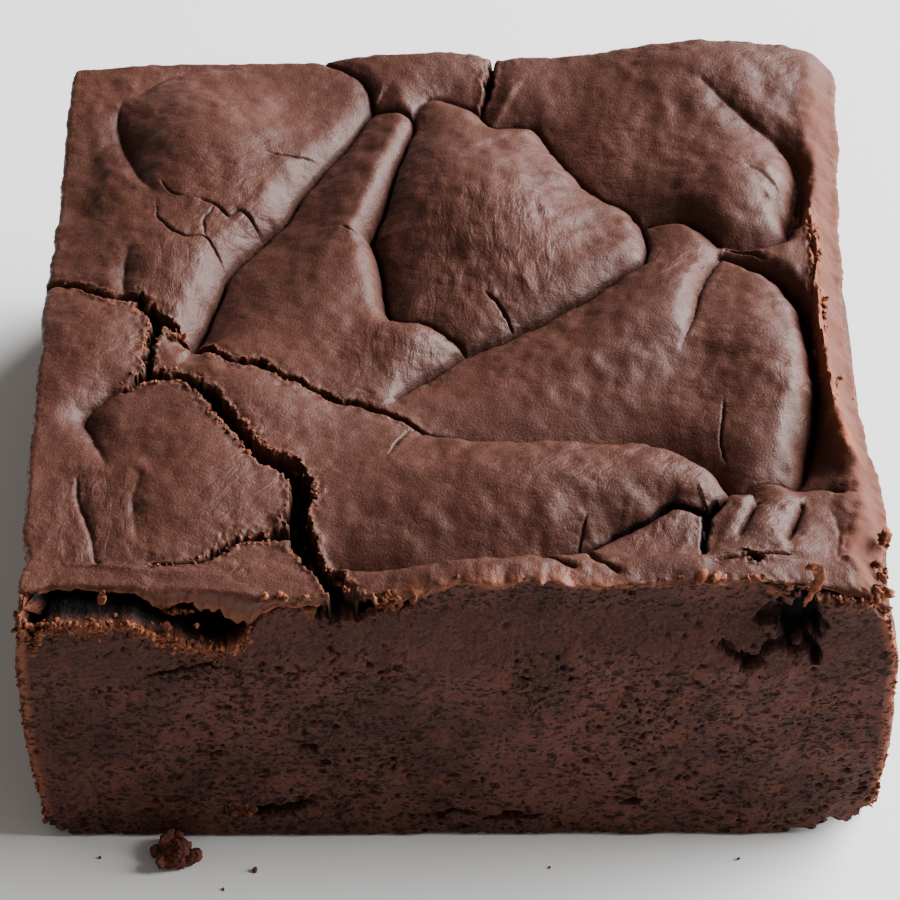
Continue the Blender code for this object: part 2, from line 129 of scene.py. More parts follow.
# Creases between the lobes, as routes through (x, y)
CREASES = {
    "dome west": crease(
        [(-30.5, 29), (-30.7, 26.3), (-29.5, 22.7), (-28.2, 18.6), (-26.9, 16)],
        (0.3, 1.9, 0.3), (4.0, 5.0, 3.5), (3.0, 3.0, 2.5), (0, 0.2, 0), 0.15,
    ),
    "dome back": crease(
        [(-15, 37), (-11, 34), (-8.1, 31.4), (-7.2, 28.2)],
        (0.1, 0.5, 0.8), 1.5, 2.2, nip=1.5,
    ),
    "dome east": crease(
        [(-7.2, 28.2), (-9.7, 23.1), (-13.2, 17.2), (-15.1, 13.2), (-19.4, 7.5), (-20.7, 3.1),
         (-22.5, -2.8)],
        (1.3, 2.1, 2.6), (4.0, 8.0, 4.5), (2.4, 2.8, 2.8),
    ),
    "long top": crease([(-7.2, 28.2), (-4.8, 27.6), (-3.5, 26.7)], (1.2, 1.0, 1.0), 1.5, 1.5),
    "middle west": crease(
        [(-3.5, 26.7), (-3.6, 24.3), (-4.8, 19.9), (-6.7, 11.7), (-7.2, 9.8), (-6.3, 6.8), (-5.3, 0.3),
         (-2, -1.1), (1.1, -4)],
        (1.0, 3.2, 1.0), (4.0, 5.5, 3.0), (1.8, 2.2, 2.2),
    ),
    "middle back": crease(
        [(-3.5, 26.7), (-2.5, 28.8), (-0.8, 29.5), (2.3, 28.2), (3.8, 26.2), (6.2, 26.1), (8, 25.2),
         (10, 21.2), (12.6, 17.4), (15.3, 15.5), (17, 12.9)],
        (0.8, 2.4, 1.9), (3.0, 7.0, 5.0), (2.0, 3.0, 2.5), nip=0.8,
    ),
    "wedge top": crease(
        [(17, 12.9), (18.4, 13), (21.2, 12.2), (23.6, 9)],
        (1.9, 2.2, 1.4), (3.0, 3.0, 1.8), (1.5, 2.0, 2.5), (0, 0.2, 0),
    ),
    "back split": crease([(4.2, 37), (3.5, 32.1), (2.7, 28)], (0.3, 1.0, 1.2), 3.0, 1.3),
    "tongue edge": crease(
        [(23.6, 9), (24.8, 8.6), (26.2, 8.4), (28.3, 8.9), (29.6, 10), (29.6, 12.6), (28.8, 15.5),
         (26, 18.3)],
        (1.2, 2.3, 0.0), (2.4, 2.9, 3.2), (1.2, 1.5, 1.5), nip=0.3,
    ),
    "back right valley": crease(
        [(23, 29), (25.3, 26.4), (27.9, 24), (29.7, 22.8), (31.1, 20.7), (31.6, 18.3), (31.3, 15.5),
         (30.7, 12)],
        (0.2, 1.4, 2.9), (1.8, 2.2, 0.9), (2.5, 3.2, 2.5), (0.1, 0.2, 0.8), 0.3,
    ),
    "wedge back": crease(
        [(17, 12.9), (17.2, 8), (16.4, 5.7), (13.9, 3.7), (10.2, 1), (5.6, -1.9), (1.1, -4)],
        (1.5, 2.2, 1.3), (5.0, 8.0, 6.0), (2.5, 2.8, 2.2),
    ),
    "wedge end": crease(
        [(1.1, -4), (-1.4, -6.3), (-3.5, -8.2),
         (-4.9, -9.8)], (1.3, 1.6, 0.8), (6.0, 6.0, 4.0), 2.2,
    ),
    "wedge fold": crease(
        [(23.6, 7.5), (21.8, 3.3), (20.7, -1.7),
         (19.8, -4.5)], (1.0, 1.8, 0.3), (5.0, 6.0, 5.0), 2.0, nip=0.5,
    ),
    "right edge": crease(
        [(23.6, 7.5), (25.8, 6.2), (28.1, 4.6), (30, 1.5), (30.9, -2.7), (31.3, -8.6), (30.5, -12.9),
         (29.1, -18.5), (28.1, -20.1)],
        (1.0, 2.6, 2.0), (2.0, 1.1, 3.6), (2.2, 2.0, 3.4), (0.1, 0.3, 0.1), 0.8,
    ),
    "rim crest": crease(
        [(31.5, 14), (32.4, 11), (32.8, 6.5), (32.1, 2.4), (32.4, 1)],
        (0.3, 0.8, 0.3), 0.4, 1.4, nip=0.2,
    ),
    "roll back": crease(
        [(-2.5, -14.5), (2.1, -15.3), (11.1, -15.7), (16.6, -16.4), (20.9, -18.6), (23.2, -21.6)],
        (1.1, 3.7, 3.4), (5.0, 5.5, 5.0), (2.0, 2.0, 2.5),
    ),
    "roll right": crease(
        [(23.2, -21.6), (24.3, -20.7), (28.1, -20.1), (30.4, -20.8), (32.2, -21.6)],
        (1.6, 2.2, 0.8), (3.0, 4.5, 3.0), (1.5, 1.3, 1.0),
    ),
    "roll front": crease(
        [(-9.5, -30.4), (-6.1, -31.1), (-1.3, -31.2), (2, -30.7), (4.7, -30.2), (7, -29.6), (9.8, -28.9),
         (12.2, -27.6), (15.6, -25.7), (17.5, -24.5), (19, -24.6), (20.5, -25), (21.4, -24.2),
         (23.2, -21.6)],
        (2.2, 3.0, 1.1), (5.0, 4.6, 2.0), (1.2, 1.4, 1.4),
    ),
    "corner fold": crease([(24.8, -23.6), (24.1, -25.3), (23.1, -27.8)], (0.5, 0.9, 0.5), 2.0, 1.2),
    "outer corner fold": crease([(28.5, -23.6), (27.6, -26.3), (27, -27.9)], (0.5, 1.2, 0.5), 2.5, 1.3),
    "corner wrinkle": crease(
        [(30.6, -24), (31.5, -27), (31.2, -30.5)], (0.1, 0.25, 0.0), 2.0, 2.0, nip=0.2
    ),
    "plate dip": crease(
        [(-27.9, -9), (-29.4, -9.6), (-31.2, -12), (-30.4, -14.5), (-29, -18.3)],
        (1.0, 1.8, 0.2), (2.5, 3.5, 2.5), (3.0, 3.0, 1.5), nip=0.3,
    ),
    "dome ridge": crease([(-30.5, 29), (-25, 33.2), (-19.8, 34.5)], (0.2, 0.5, 0.1), 1.5, 2.0, nip=0.0),
    "left plate fold": crease([(-28.6, 9), (-28.9, 5.5), (-28.5, 2)], (0.1, 0.7, 0.8), 2.0, 1.5, nip=0.0),
    "corner wrinkle left": crease(
        [(-31.4, -20), (-30.9, -23), (-29.8, -26.5), (-29, -30.6)],
        (0.1, 0.4, 0.1), 1.4, 0.8, nip=0.6,
    ),
    "corner wrinkle inner": crease(
        [(-26, -20), (-26.4, -24), (-25.8, -27.5)], (0.2, 0.4, 0.1), 1.5, 1.2, nip=0
    ),
    "bubble edge": crease([(6.5, -30.2), (8.2, -31.8), (9.5, -33.2)], (0.5, 0.7, 0.5), 1.0, 1.0),
    "bubble edge right": crease([(10.5, -29.2), (11.5, -31.5), (13, -33.4)], (0.3, 0.5, 0.4), 1.0, 1.2),
}

# Open cracks, as routes, with their depth and their half gap at the start, middle and end
CRACKS = {
    "crack left": (
        [(-36, 5), (-34.2, 4.5), (-31.8, 3.6), (-29.7, 1.9), (-27.6, 1.6), (-26.1, -0.1), (-22.5, -2.8),
         (-18.7, -6), (-16.6, -6.7), (-10.6, -10.4), (-7.8, -11.1), (-2.5, -14.5)],
        (2.0, 4.0, 2.0), (0.1, 0.28, 0.05),
    ),
    "crack tear": (
        [(-25.6, -0.6), (-26, -3.7), (-26.3, -7.3), (-27.7, -9.3)],
        (3.0, 2.4, 1.5), (0.35, 0.25, 0.1),
    ),
    "crack front": (
        [(-28, -9.2), (-26.5, -7.9), (-24.3, -8), (-22.4, -8.6), (-17.9, -15.5), (-16, -18),
         (-14.1, -19.1), (-12.3, -22.5), (-13.1, -26), (-10.1, -32.3), (-8.5, -36)],
        (2.0, 5.0, 3.0), (0.1, 0.52, 0.78),
    ),
    "plate crack": (
        [(-24.4, -30.5), (-21.2, -30), (-19.5, -28.9), (-17.4, -27.5), (-14.6, -27.1), (-13.1, -26)],
        (0.5, 1.2, 2.0), (0.03, 0.2, 0.35),
    ),
    "back split": ([(4.0, 35.5), (3.5, 32.1), (2.9, 29)], (0.3, 2.0, 1.0), (0.03, 0.16, 0.05)),
    "flap back": (
        [(9.8, -28.9), (12.2, -27.6), (15.6, -25.7), (17.5, -24.5), (19, -24.6), (20.5, -25),
         (21.4, -24.2)],
        (1.2, 2.2, 2.4), (0.12, 0.26, 0.4),
    ),
    "flap right": ([(21.4, -24.2), (20.6, -25.4), (20.3, -27.6),
        (20, -30.7)], (2.0, 1.5, 0.6), (0.3, 0.25, 0.05)),
    "corner pit": ([(23.7, -31.2), (24.1, -31.7), (24.4, -32.3)], (1.8, 2.4, 1.8), (0.3, 0.5, 0.25)),
    "corner pit line": ([(24.5, -31.2), (25.7, -30.8),
        (26.6, -30.6)], (1.0, 0.6, 0.1), (0.14, 0.06, 0.0)),
    "corner pit left": ([(21.2, -32.6), (22.3, -32.2),
        (23.8, -31.7)], (0.1, 0.5, 0.8), (0.0, 0.06, 0.12)),
}

# The cracks whose walls are skin rather than torn crumb
CLEAN_CRACKS = ("flap back", "flap right")

# Fine lines in the skin, with their depth
HAIRLINES = {
    "dome web": ([(-26.8, 15.2), (-26.1, 12), (-24.2, 9.8), (-21.8, 9.6), (-20.6, 7.4),
        (-20.1, 5.7)], 0.25),
    "dome web branch": ([(-23.8, 14.5), (-21.4, 13.6), (-20.1, 12.4), (-18.7, 12.9), (-17.4, 11.2),
        (-16.7, 9.9)], 0.35),
    "dome web link": ([(-21.8, 9.6), (-22.1, 11.6), (-21.4, 13.6)], 0.2),
    "dome web top": ([(-26.2, 17.2), (-25.3, 15.3), (-23.8, 14.5)], 0.2),
    "dome side": ([(-16.8, 20.2), (-14.7, 20.3), (-11.7, 20.3)], 0.25),
    "long nick": ([(-9.9, 10), (-8.5, 9.1), (-7.1, 8.3)], 0.2),
    "middle nick": ([(2.8, 2), (4, 0.5), (4.8, -1.2), (5.6, -2.2)], 0.45),
    "right line": ([(22.5, -11), (22.5, -13.7), (22.4, -16.4), (22.7, -18.4)], 0.3),
    "roll left": ([(-2.9, -14), (-4.2, -15), (-5.6, -18.6)], 0.4),
    "roll nick": ([(10.7, -25.7), (10.3, -26.9), (10.2, -29)], 0.3),
    "tongue foot": ([(23.8, 8.3), (27.8, 6.3)], 0.4),
}

# Patches of short wrinkles: middle (x, y), half lengths (x, y), turn, then their way, size and depth
WRINKLE_PATCHES = {
    "middle dome": (3.5, 7.5, 6.5, 7.0, 20.0, 98.0, 0.75, 0.30),
    "middle dome foot": (0.0, 1.5, 5.0, 3.0, 0.0, 80.0, 0.6, 0.18),
    "back left dome": (-19.5, 13.5, 4.5, 5.5, -30.0, 60.0, 0.9, 0.20),
    "back left shoulder": (-24.5, 4.5, 4.0, 5.0, 0.0, 75.0, 1.1, 0.22),
    "left plate": (-31.0, -3.5, 4.0, 3.5, 0.0, 60.0, 0.7, 0.20),
    "front left plate": (-16.5, -22.5, 5.0, 5.0, 0.0, 62.0, 0.8, 0.20),
    "front left corner": (-30.0, -25.0, 4.0, 6.0, 0.0, 96.0, 1.1, 0.34),
    "long lobe foot": (-4.5, -4.5, 4.5, 4.0, 20.0, 70.0, 0.7, 0.22),
    "tongue edge": (19.8, 4.5, 3.5, 3.5, 0.0, 60.0, 0.9, 0.26),
    "right dome": (25.0, -8.0, 5.0, 6.0, 0.0, 20.0, 0.9, 0.16),
    "right dome flank": (29.0, -12.0, 2.5, 5.0, 0.0, 75.0, 0.6, 0.16),
    "back right": (13.0, 22.0, 9.0, 4.0, -15.0, 160.0, 1.2, 0.16),
    "back right corner": (29.0, 31.0, 5.0, 4.0, 0.0, 35.0, 1.0, 0.14),
    "front roll": (13.5, -20.5, 8.5, 3.2, 0.0, 28.0, 0.9, 0.25),
    "front roll left": (-1.0, -21.0, 6.0, 4.0, 0.0, 150.0, 1.2, 0.07),
    "flap": (16.8, -28.0, 3.0, 2.2, 0.0, 75.0, 0.8, 0.32),
    "corner": (25.5, -26.5, 3.5, 3.5, 0.0, 66.0, 0.8, 0.32),
    "front lip": (4.0, -33.0, 14.0, 1.6, 0.0, 100.0, 1.4, 0.18),
    "front lip left": (-22.0, -31.5, 9.0, 1.8, 0.0, 45.0, 1.3, 0.30),
}

# The rim's ragged crest on the right
RIM_CREST = [
    (31.3, 13.7), (32, 12.7), (32.5, 10.5), (32.8, 6.5), (32.1, 2.4), (32.8, 1.5), (32.4, -2.7),
    (32.3, -8), (32.9, -10.3), (32.7, -12.9), (33.3, -15.7), (33.3, -17.2),
]

# The lines along which the crust is in four sheets, which all run in a crack or a deep fold:
# across it, along the left crack and the fold behind the front roll, as y for each x
PARTING = [
    *CRACKS["crack left"][0],
    *CREASES["roll back"]["route"][1:],
    *CREASES["roll right"]["route"][1:3],
    (33.6, -21), (38, -21.5),
]
# and from front to back, along the front crack, the tear and the folds east and north of the back left dome
CROSS_PARTING = [
    *CRACKS["crack front"][0][:1:-1],
    (-26.3, -7.3), (-26, -3.7),
    *CREASES["dome east"]["route"][::-1],
    *CREASES["dome back"]["route"][2::-1],
]

# How far the top edge stands out (+) or in (-) of the straight cut on each side, at places along it
TOP_OUTLINE = {
    "left": [(-34.8, -0.3), (-32, -0.4), (-28.8, -0.9), (-25, -0.3), (-18, -0.2), (5, 0.0), (18, -0.3),
        (27, -0.3), (34.8, -0.3)],
    "right": [(-34.8, -0.5), (-31, -1.2), (-29.3, -1.4), (-25.4, -0.1), (-18.5, -0.3), (-14.5, -0.9),
        (-9, -1.4), (-3, -1.7), (3, -1.6), (12.4, -1.2), (17, -0.9), (23.7, -0.4), (34.8, 0.0)],
    "front": [(-35.5, -2.0), (-33, -2.9), (-28, -2.7), (-20, -1.8), (-15, -1.0), (-10, -1.0), (-4, -1.2),
        (6, -1.6), (13, -1.5), (18, -1.8), (24, -1.9), (30, -1.7), (35.5, -1.0)],
    "back": [(-35.5, 0.0), (0, 0.2), (35.5, 0.0)],
}
# The same for the front wall's own top, which stands out past the crust at the left
FRONT_WALL_TOP = [
    (-35.5, -0.1), (-24, 0.0), (-19.5, -0.3), (-16.5, -0.8), (-10, -1.0), (-4, -1.2), (6, -1.6),
    (13, -1.5), (18, -1.8), (24, -1.8), (28, -1.0), (31, -0.5), (35.5, -0.3),
]
# The same for the walls lower down: at mid height at the two ends of the side, and at the foot
WALL_OUTLINE = {
    "left": (0.3, -0.1, -0.5),
    "right": (0.6, -0.3, 0.1),
    "front": (0.0, 0.0, -0.1),
    "back": (0.1, 0.1, 0.0),
}
# How far the crust's front edge hangs down, as a factor, at places along it
FRONT_DROOP = [
    (-36, 0.5), (-34.0, 0.7), (-32, 0.5), (-27, 0.4), (-25.6, 0.5), (-24.9, 1.5), (-23.5, 1.9),
    (-21.4, 1.8), (-19.5, 1.8), (-18, 2.2), (-16.9, 2.2), (-16.1, 1.6), (-15.2, 0.9), (-14, 0.6),
    (-9, 0.6), (-5.5, 0.8), (-1, 0.6), (3, 0.8), (7, 0.55), (12, 0.45), (20, 0.4), (27, 0.35), (31, 0.5),
    (34, 0.9), (36, 1.0),
]
# Rounded knobs of the crust's front lip: x, how far down the lip, half sizes along and down, how far out
LIP_KNOBS = [
    (-4.6, 0.9, 0.5, 0.5, 0.35), (-3.3, 0.4, 0.6, 0.6, 0.5), (-2.4, 1.0, 0.5, 0.5, 0.4),
    (-1.0, 0.7, 0.8, 0.5, 0.3), (1.4, 0.8, 0.9, 0.5, 0.25), (3.1, 0.6, 1.1, 0.6, 0.4),
    (4.7, 0.9, 0.5, 0.6, 0.35), (6.7, 0.7, 0.4, 0.9, 0.55), (8.6, 0.4, 1.4, 0.8, 0.5),
    (11.4, 0.6, 1.2, 0.6, 0.3), (20.6, 1.0, 0.9, 0.4, 0.4), (24.0, 1.0, 0.7, 0.4, 0.35),
]
# The front wall's upper border at the left, where a gap runs under the crust, and how deep that gap is
GAP_FLOOR = [
    (-36, 26.6), (-35.0, 25.8), (-34.2, 24.6), (-33.2, 26.0), (-31.8, 26.4), (-29.4, 26.3),
    (-25.9, 26.4), (-25.2, 25.6), (-22.8, 24.8), (-21.6, 24.0), (-19.8, 23.5), (-18.6, 23.6),
    (-17.4, 24.2), (-16.6, 25.2), (-16, 28),
]
GAP_DEPTH = 4.5
# The patch of coarse crumb below the gap's right end: its middle and its half sizes
COARSE_PATCH = (-15.0, 21.5, 6.5, 2.4)

# The chips off the front foot corners: how high the chip reaches, from where in X, and how far it cuts in
FOOT_CHIPS = {"right": (3.4, 25.0, 2.6), "left": (1.3, -27.0, 1.6)}
# and how far in front of the middle the chips begin on the side walls
FOOT_CHIP_BACK = 28.0

# Hollows in the front wall: middle (x, z), half sizes (x, z), turn in degrees, depth
FRONT_HOLLOWS = {
    "crack mouth": (-8.4, 28.0, 3.2, 1.5, 8.0, 2.2),
    "crack mouth right": (-4.4, 27.6, 0.9, 0.8, 40.0, 1.6),
    "right hollow": (27.9, 25.4, 1.4, 2.6, 0.0, 2.2),
    "right hollow foot": (29.0, 22.9, 0.6, 1.2, 0.0, 1.5),
    "right hollow upper": (25.7, 26.0, 1.2, 0.7, 25.0, 1.0),
    "right ledge": (31.0, 28.4, 3.4, 0.5, -6.0, 1.8),
    "right small hollow": (23.6, 21.9, 1.0, 0.9, -30.0, 1.3),
    "right low hollow": (25.6, 22.9, 1.5, 0.5, 30.0, 0.9),
    "right low hollow far": (22.2, 22.9, 0.7, 0.4, -30.0, 0.8),
    "foot left": (-15.0, 3.6, 2.9, 0.7, 6.0, 2.2),
    "foot slit": (-0.3, 3.1, 1.7, 0.25, 12.0, 0.8),
    "foot slit right": (4.5, 2.3, 2.4, 0.25, 8.0, 0.8),
    "foot slit far": (15.0, 4.4, 1.2, 0.25, 30.0, 0.6),
    "upper slit": (-22.3, 21.1, 2.7, 0.16, 13.0, 0.6),
    "small arc": (-10.9, 9.5, 0.6, 0.2, 0.0, 0.5),
}

# Steps along a route between two of its points, and how sharply the creases' slopes blend into one another
ROUTE_STEPS = 6
BLEND_POWER = 3.0
# How wide a crack's own slopes are and how far they drop, and how far from its line it is worked out
CRACK_SLOPE, CRACK_DROP, CRACK_REACH = 2.2, 0.6, 3.0
# The same for a hairline, with the half width of the line itself
HAIRLINE_SLOPE, HAIRLINE_DROP, HAIRLINE_HALF_WIDTH = 1.2, 0.25, 0.16
# Half widths of the painted shade line in a fold and along a hairline
FOLD_SHADE_LINE, HAIRLINE_SHADE_LINE = 0.9, 0.3
# How high and how wide the crumbly border of a torn crack is
CRUMBLY_HEIGHT, CRUMBLY_WIDTH = 0.3, 0.8
# The rim's ragged crest on the right: its height and half width, and how far from its route it reaches
CREST_HEIGHT, CREST_HALF_WIDTH, CREST_REACH = 0.55, 0.8, 1.5
# Where the dull rind on the right begins in X and over what width, and the same from the back. Its lighter
# colour is partly its own and partly painted light, which also lightens the rim's inner slope where it lies
# in shade
RIND_START, RIND_EASE, RIND_BACK, RIND_BACK_EASE = 31.8, 1.2, 40, 16
# Where the slope beyond the rim on the right begins, how wide it is and how far it goes down
RIM_FALL_START, RIM_FALL_WIDTH, RIM_FALL = 33.1, 2.4, 1.3
# How deep the wall tucks in under the crust's edge, and how much lower it is where a crack runs out
WALL_TUCK, CRACK_NOTCH = 0.45, 2.2
# Hollows deeper than the first have ragged borders. Those deeper than the second and above the height
# have ledges of fresh crumb
RAGGED_DEPTH, LEDGE_DEPTH, LEDGE_HEIGHT = 1.0, 1.7, 26.5
# Where the ledge and the gap at the left end, in X
LEDGE_END, GAP_END = -16.5, -15.9
SHUFFLE = np.random.default_rng(11).permutation(256)


# Noise


def lattice_value(cells, seed):
    """A fixed number between -1 and 1 for each whole-numbered cell."""
    mixed = np.full(len(cells), seed % 256)
    for axis in range(cells.shape[1]):
        mixed = SHUFFLE[(mixed + cells[:, axis]) & 255]
    return mixed / 127.5 - 1


def noise(places, size, seed):
    """Smooth unevenness between -1 and 1 whose bumps are about the given size."""
    scaled = places / size
    cell = np.floor(scaled).astype(int)
    part = scaled - cell
    part = part**3 * (part * (part * 6 - 15) + 10)
    total = np.zeros(len(places))
    for corner in np.ndindex(*(2,) * places.shape[1]):
        weight = np.prod(np.where(corner, part, 1 - part), axis=1)
        total += weight * lattice_value(cell + np.array(corner), seed)
    return total


def turned(places, degrees):
    """The places with their first two coordinates turned about the origin."""
    angle = np.radians(degrees)
    x = places[:, 0] * np.cos(angle) + places[:, 1] * np.sin(angle)
    y = places[:, 1] * np.cos(angle) - places[:, 0] * np.sin(angle)
    return np.column_stack([x, y, places[:, 2:]])


def fractal(places, size, seed, octaves=3):
    """Noise of several sizes, each half as large and half as strong as the one before."""
    total = np.zeros(len(places))
    for octave in range(octaves):
        total += noise(turned(places, 37 * octave), size / 2**octave, seed + octave) / 2**octave
    return total


def jumble(places, size, seeds, octaves=3):
    """Noise of several sizes along each of some axes, with a seed for each."""
    return np.column_stack([fractal(places, size, seed, octaves) for seed in seeds])


def smooth(t):
    """Eases from 0 to 1 as t goes from 0 to 1."""
    t = np.clip(t, 0, 1)
    return t * t * (3 - 2 * t)


# Routes on the crust


def smooth_route(points):
    """A curve through the points (Catmull-Rom), as an array of places along it."""
    stops = np.array(points, float)
    ends = np.vstack([2 * stops[0] - stops[1], stops, 2 * stops[-1] - stops[-2]])
    t = np.linspace(0, 1, ROUTE_STEPS, endpoint=False)[:, None]
    pieces = [
        0.5 * (
            2 * b
            + (c - a) * t
            + (2 * a - 5 * b + 4 * c - d) * t**2
            + (3 * b - a - 3 * c + d) * t**3
        )
        for a, b, c, d in zip(ends, ends[1:], ends[2:], ends[3:])
    ]
    return np.vstack(pieces + [stops[-1:]])


def near_route(points, places, reach):
    """The places near a route: their numbers, distances, sides (+1 left, -1 right) and how far along."""
    route = smooth_route(points)
    low, high = route.min(axis=0) - reach, route.max(axis=0) + reach
    picked = np.nonzero(((places > low) & (places < high)).all(axis=1))[0]
    spots = places[picked]
    distance = np.full(len(spots), np.inf)
    side = np.ones(len(spots))
    along = np.zeros(len(spots))
    for index, (a, b) in enumerate(zip(route, route[1:])):
        run = b - a
        t = np.clip((spots - a) @ run / (run @ run), 0, 1)
        away = spots - a - t[:, None] * run
        d = np.hypot(away[:, 0], away[:, 1])
        closer = d < distance
        distance[closer] = d[closer]
        turn = run[0] * (spots[:, 1] - a[1]) - run[1] * (spots[:, 0] - a[0])
        side[closer] = np.where(turn >= 0, 1, -1)[closer]
        along[closer] = ((index + t) / (len(route) - 1))[closer]
    within = distance < reach
    return picked[within], distance[within], side[within], along[within]


def at_thirds(along, values):
    """A value that is given at the start, the middle and the end of a route."""
    return np.interp(along, (0, 0.5, 1), values)


def shoulder(t):
    """The drop of a rolled edge: 1 at the crease, rounding out to 0 at its full width."""
    inward = 1 - np.clip(t, 0, 1)
    return 0.4 * (1 - np.sqrt(1 - inward**2)) + 0.6 * inward**1.8


# The crust's relief


def swell_height(places):
    """The height of the lobes over the edge height, without their creases."""
    total = np.zeros(len(places))
    for x, y, long, wide, turn, rise in SWELLS.values():
        off = turned(places - (x, y), turn)
        total += rise * np.exp(-((off[:, 0] / long) ** 2 + (off[:, 1] / wide) ** 2))
    return total


def wandered(places, amount):
    """The places shifted by a small ragged noise, so that a line in them isn't drawn with a ruler."""
    return places + amount * jumble(places, 1.9, (21, 31))


def add_creases(relief, places, settings):
    """Adds the creases: their slopes, the sharp lines in them and the painted shade in them, darker where
    they drop further.
    """
    for line in CREASES.values():
        reach = max(*line["left"], *line["right"]) + max(line["floor"])
        near, distance, side, along = near_route(line["route"], places, reach)
        drop = at_thirds(along, line["drop"])
        width = np.where(side > 0, at_thirds(along, line["left"]), at_thirds(along, line["right"]))
        beyond = np.clip(distance - at_thirds(along, line["floor"]), 0, None)
        relief["creases"][near] += (drop * shoulder(beyond / width)) ** BLEND_POWER
        sharp = line["nip"] * np.sqrt(drop)
        in_line = np.clip(1 - distance / (settings.nip_width / MM), 0, 1)
        raise_to(relief["nips"], near, settings.nip_depth / MM * sharp * in_line)
        # Painted shade along the crease's line, stronger where the crease drops further
        in_fold_shade = np.clip(1 - distance / FOLD_SHADE_LINE, 0, 1)
        raise_to(relief["fold"], near, smooth(drop / 1.2) * line["nip"] * in_fold_shade)


def add_cracks(relief, places, settings):
    """Adds the open cracks: their trenches, how torn, raised and crumbly it is by them, and the painted
    shade deep in them.
    """
    wall = settings.crack_wall / MM
    for name, (points, depths, gaps) in CRACKS.items():
        near, distance, side, along = near_route(points, places, CRACK_REACH)
        own = places[near] + 9.0 * side[:, None]
        is_torn = name not in CLEAN_CRACKS
        usual_gap = at_thirds(along, gaps)
        rough = np.minimum(2.2 * usual_gap, 0.5) * (0.6 * noise(own, 1.5, 51) + 0.45 * noise(own, 0.6, 52))
        rough += np.minimum(usual_gap, 0.2) * noise(own, 0.3, 53)
        gap = usual_gap + (1.0 if is_torn else 0.3) * rough
        depth = at_thirds(along, depths)
        raise_to(relief["trench"], near, depth * (1 - smooth((distance - gap) / wall)))
        relief["creases"][near] += (CRACK_DROP * shoulder(distance / CRACK_SLOPE)) ** BLEND_POWER
        border = gap + 0.5 * wall + 1.2 * np.minimum(usual_gap, 0.25) * (0.8 + noise(own, 0.8, 54))
        raise_to(relief["torn"], near, is_torn * (1 - smooth((distance - border) / 0.2)))
        # Painted shade on the crack's walls below their top and on its floor
        inside = 1 - smooth((distance - gap - (0.55 if is_torn else 1.0) * wall) / (0.45 * wall))
        raise_to(relief["deep"], near, inside * smooth(depth / 0.8))
        raise_to(relief["rim"], near, np.exp(-(((distance - gap - wall - 0.2) / 0.25) ** 2)))
        past_gap = np.clip(distance - gap, 0, None) / CRUMBLY_WIDTH
        raise_to(relief["crumbly"], near, is_torn * (np.minimum(3 * usual_gap, 1) * np.exp(-(past_gap**2))))


def add_hairlines(relief, places):
    """Adds the fine lines in the skin, which fade out at their ends."""
    for points, depth in HAIRLINES.values():
        near, distance, _, along = near_route(points, places, HAIRLINE_SLOPE)
        fade = smooth(4 * along) * smooth(4 * (1 - along))
        raise_to(relief["nips"], near, depth * fade * np.clip(1 - distance / HAIRLINE_HALF_WIDTH, 0, 1))
        slope = HAIRLINE_DROP * depth * fade * shoulder(distance / HAIRLINE_SLOPE)
        relief["creases"][near] += slope**BLEND_POWER
        # Painted shade along the hairline
        raise_to(relief["fold"], near, 0.7 * fade * np.clip(1 - distance / HAIRLINE_SHADE_LINE, 0, 1))


def raise_to(total, near, values):
    """Raises the numbers of the near places to the given values where they are lower."""
    total[near] = np.maximum(total[near], values)


def crust_relief(places, settings):
    """The crust's height at each place, and how strongly each of its named marks shows there."""
    ragged = wandered(places, settings.crack_wander / MM)
    keys = ("creases", "nips", "trench", "fold", "torn", "rim", "crumbly", "deep", "crest")
    relief = {key: np.zeros(len(places)) for key in keys}
    add_creases(relief, wandered(places, settings.line_wander / MM), settings)
    add_cracks(relief, ragged, settings)
    add_hairlines(relief, ragged)
    height = EDGE_HEIGHT + swell_height(wandered(places, 0.5)) - relief["creases"] ** (1 / BLEND_POWER)
    height += settings.undulation / MM * fractal(places, 6.0, 61, 2)
    height += settings.wrinkle / MM * (wrinkles(places) / 0.2 + 0.35 * fractal(places, 1.1, 67))
    near, distance, _, _ = near_route(RIM_CREST, places, CREST_REACH)
    off_crest = (distance + 0.3 * fractal(places[near], 0.9, 73)) / CREST_HALF_WIDTH
    relief["crest"][near] = np.exp(-(off_crest**2))
    height += CREST_HEIGHT * relief["crest"] * (0.4 + cell_bumps(places, 0.55, 77))
    height -= rim_fall(places)
    bits = cell_bumps(places, 0.5, 57) + 0.6 * cell_bumps(places, 0.28, 58) - 0.8
    crumbs = CRUMBLY_HEIGHT * relief["crumbly"] * bits
    height += 0.1 * relief["rim"] + crumbs - relief["nips"] - relief["trench"]
    # The dull rind on the right: bumpier skin, and a lighter colour that is partly painted light
    from_rim = (places[:, 0] - RIND_START - 0.6 * noise(places, 2.0, 55)) / RIND_EASE
    rind = smooth(from_rim) * smooth((RIND_BACK - places[:, 1]) / RIND_BACK_EASE)
    height += rind * (0.2 * fractal(places, 1.6, 91) + 0.14 * cell_bumps(places, 0.7, 93) - 0.1)
    marks = {key: relief[key] for key in ("fold", "torn", "deep", "crest")}
    marks.update(streaks(places), sunk=smooth(relief["trench"] / 0.3), rind=rind)
    return height, marks


def neighbours(places, size, seed):
    """For each cell round the places: its number, its middle's stray, and the places in cell sizes."""
    scaled = places / size
    cell = np.floor(scaled).astype(int)
    axes = places.shape[1]
    for corner in np.ndindex(*(3,) * axes):
        spot = cell + np.array(corner) - 1
        jitter = np.column_stack([lattice_value(spot, seed + axis) for axis in range(axes)])
        yield spot, jitter, scaled


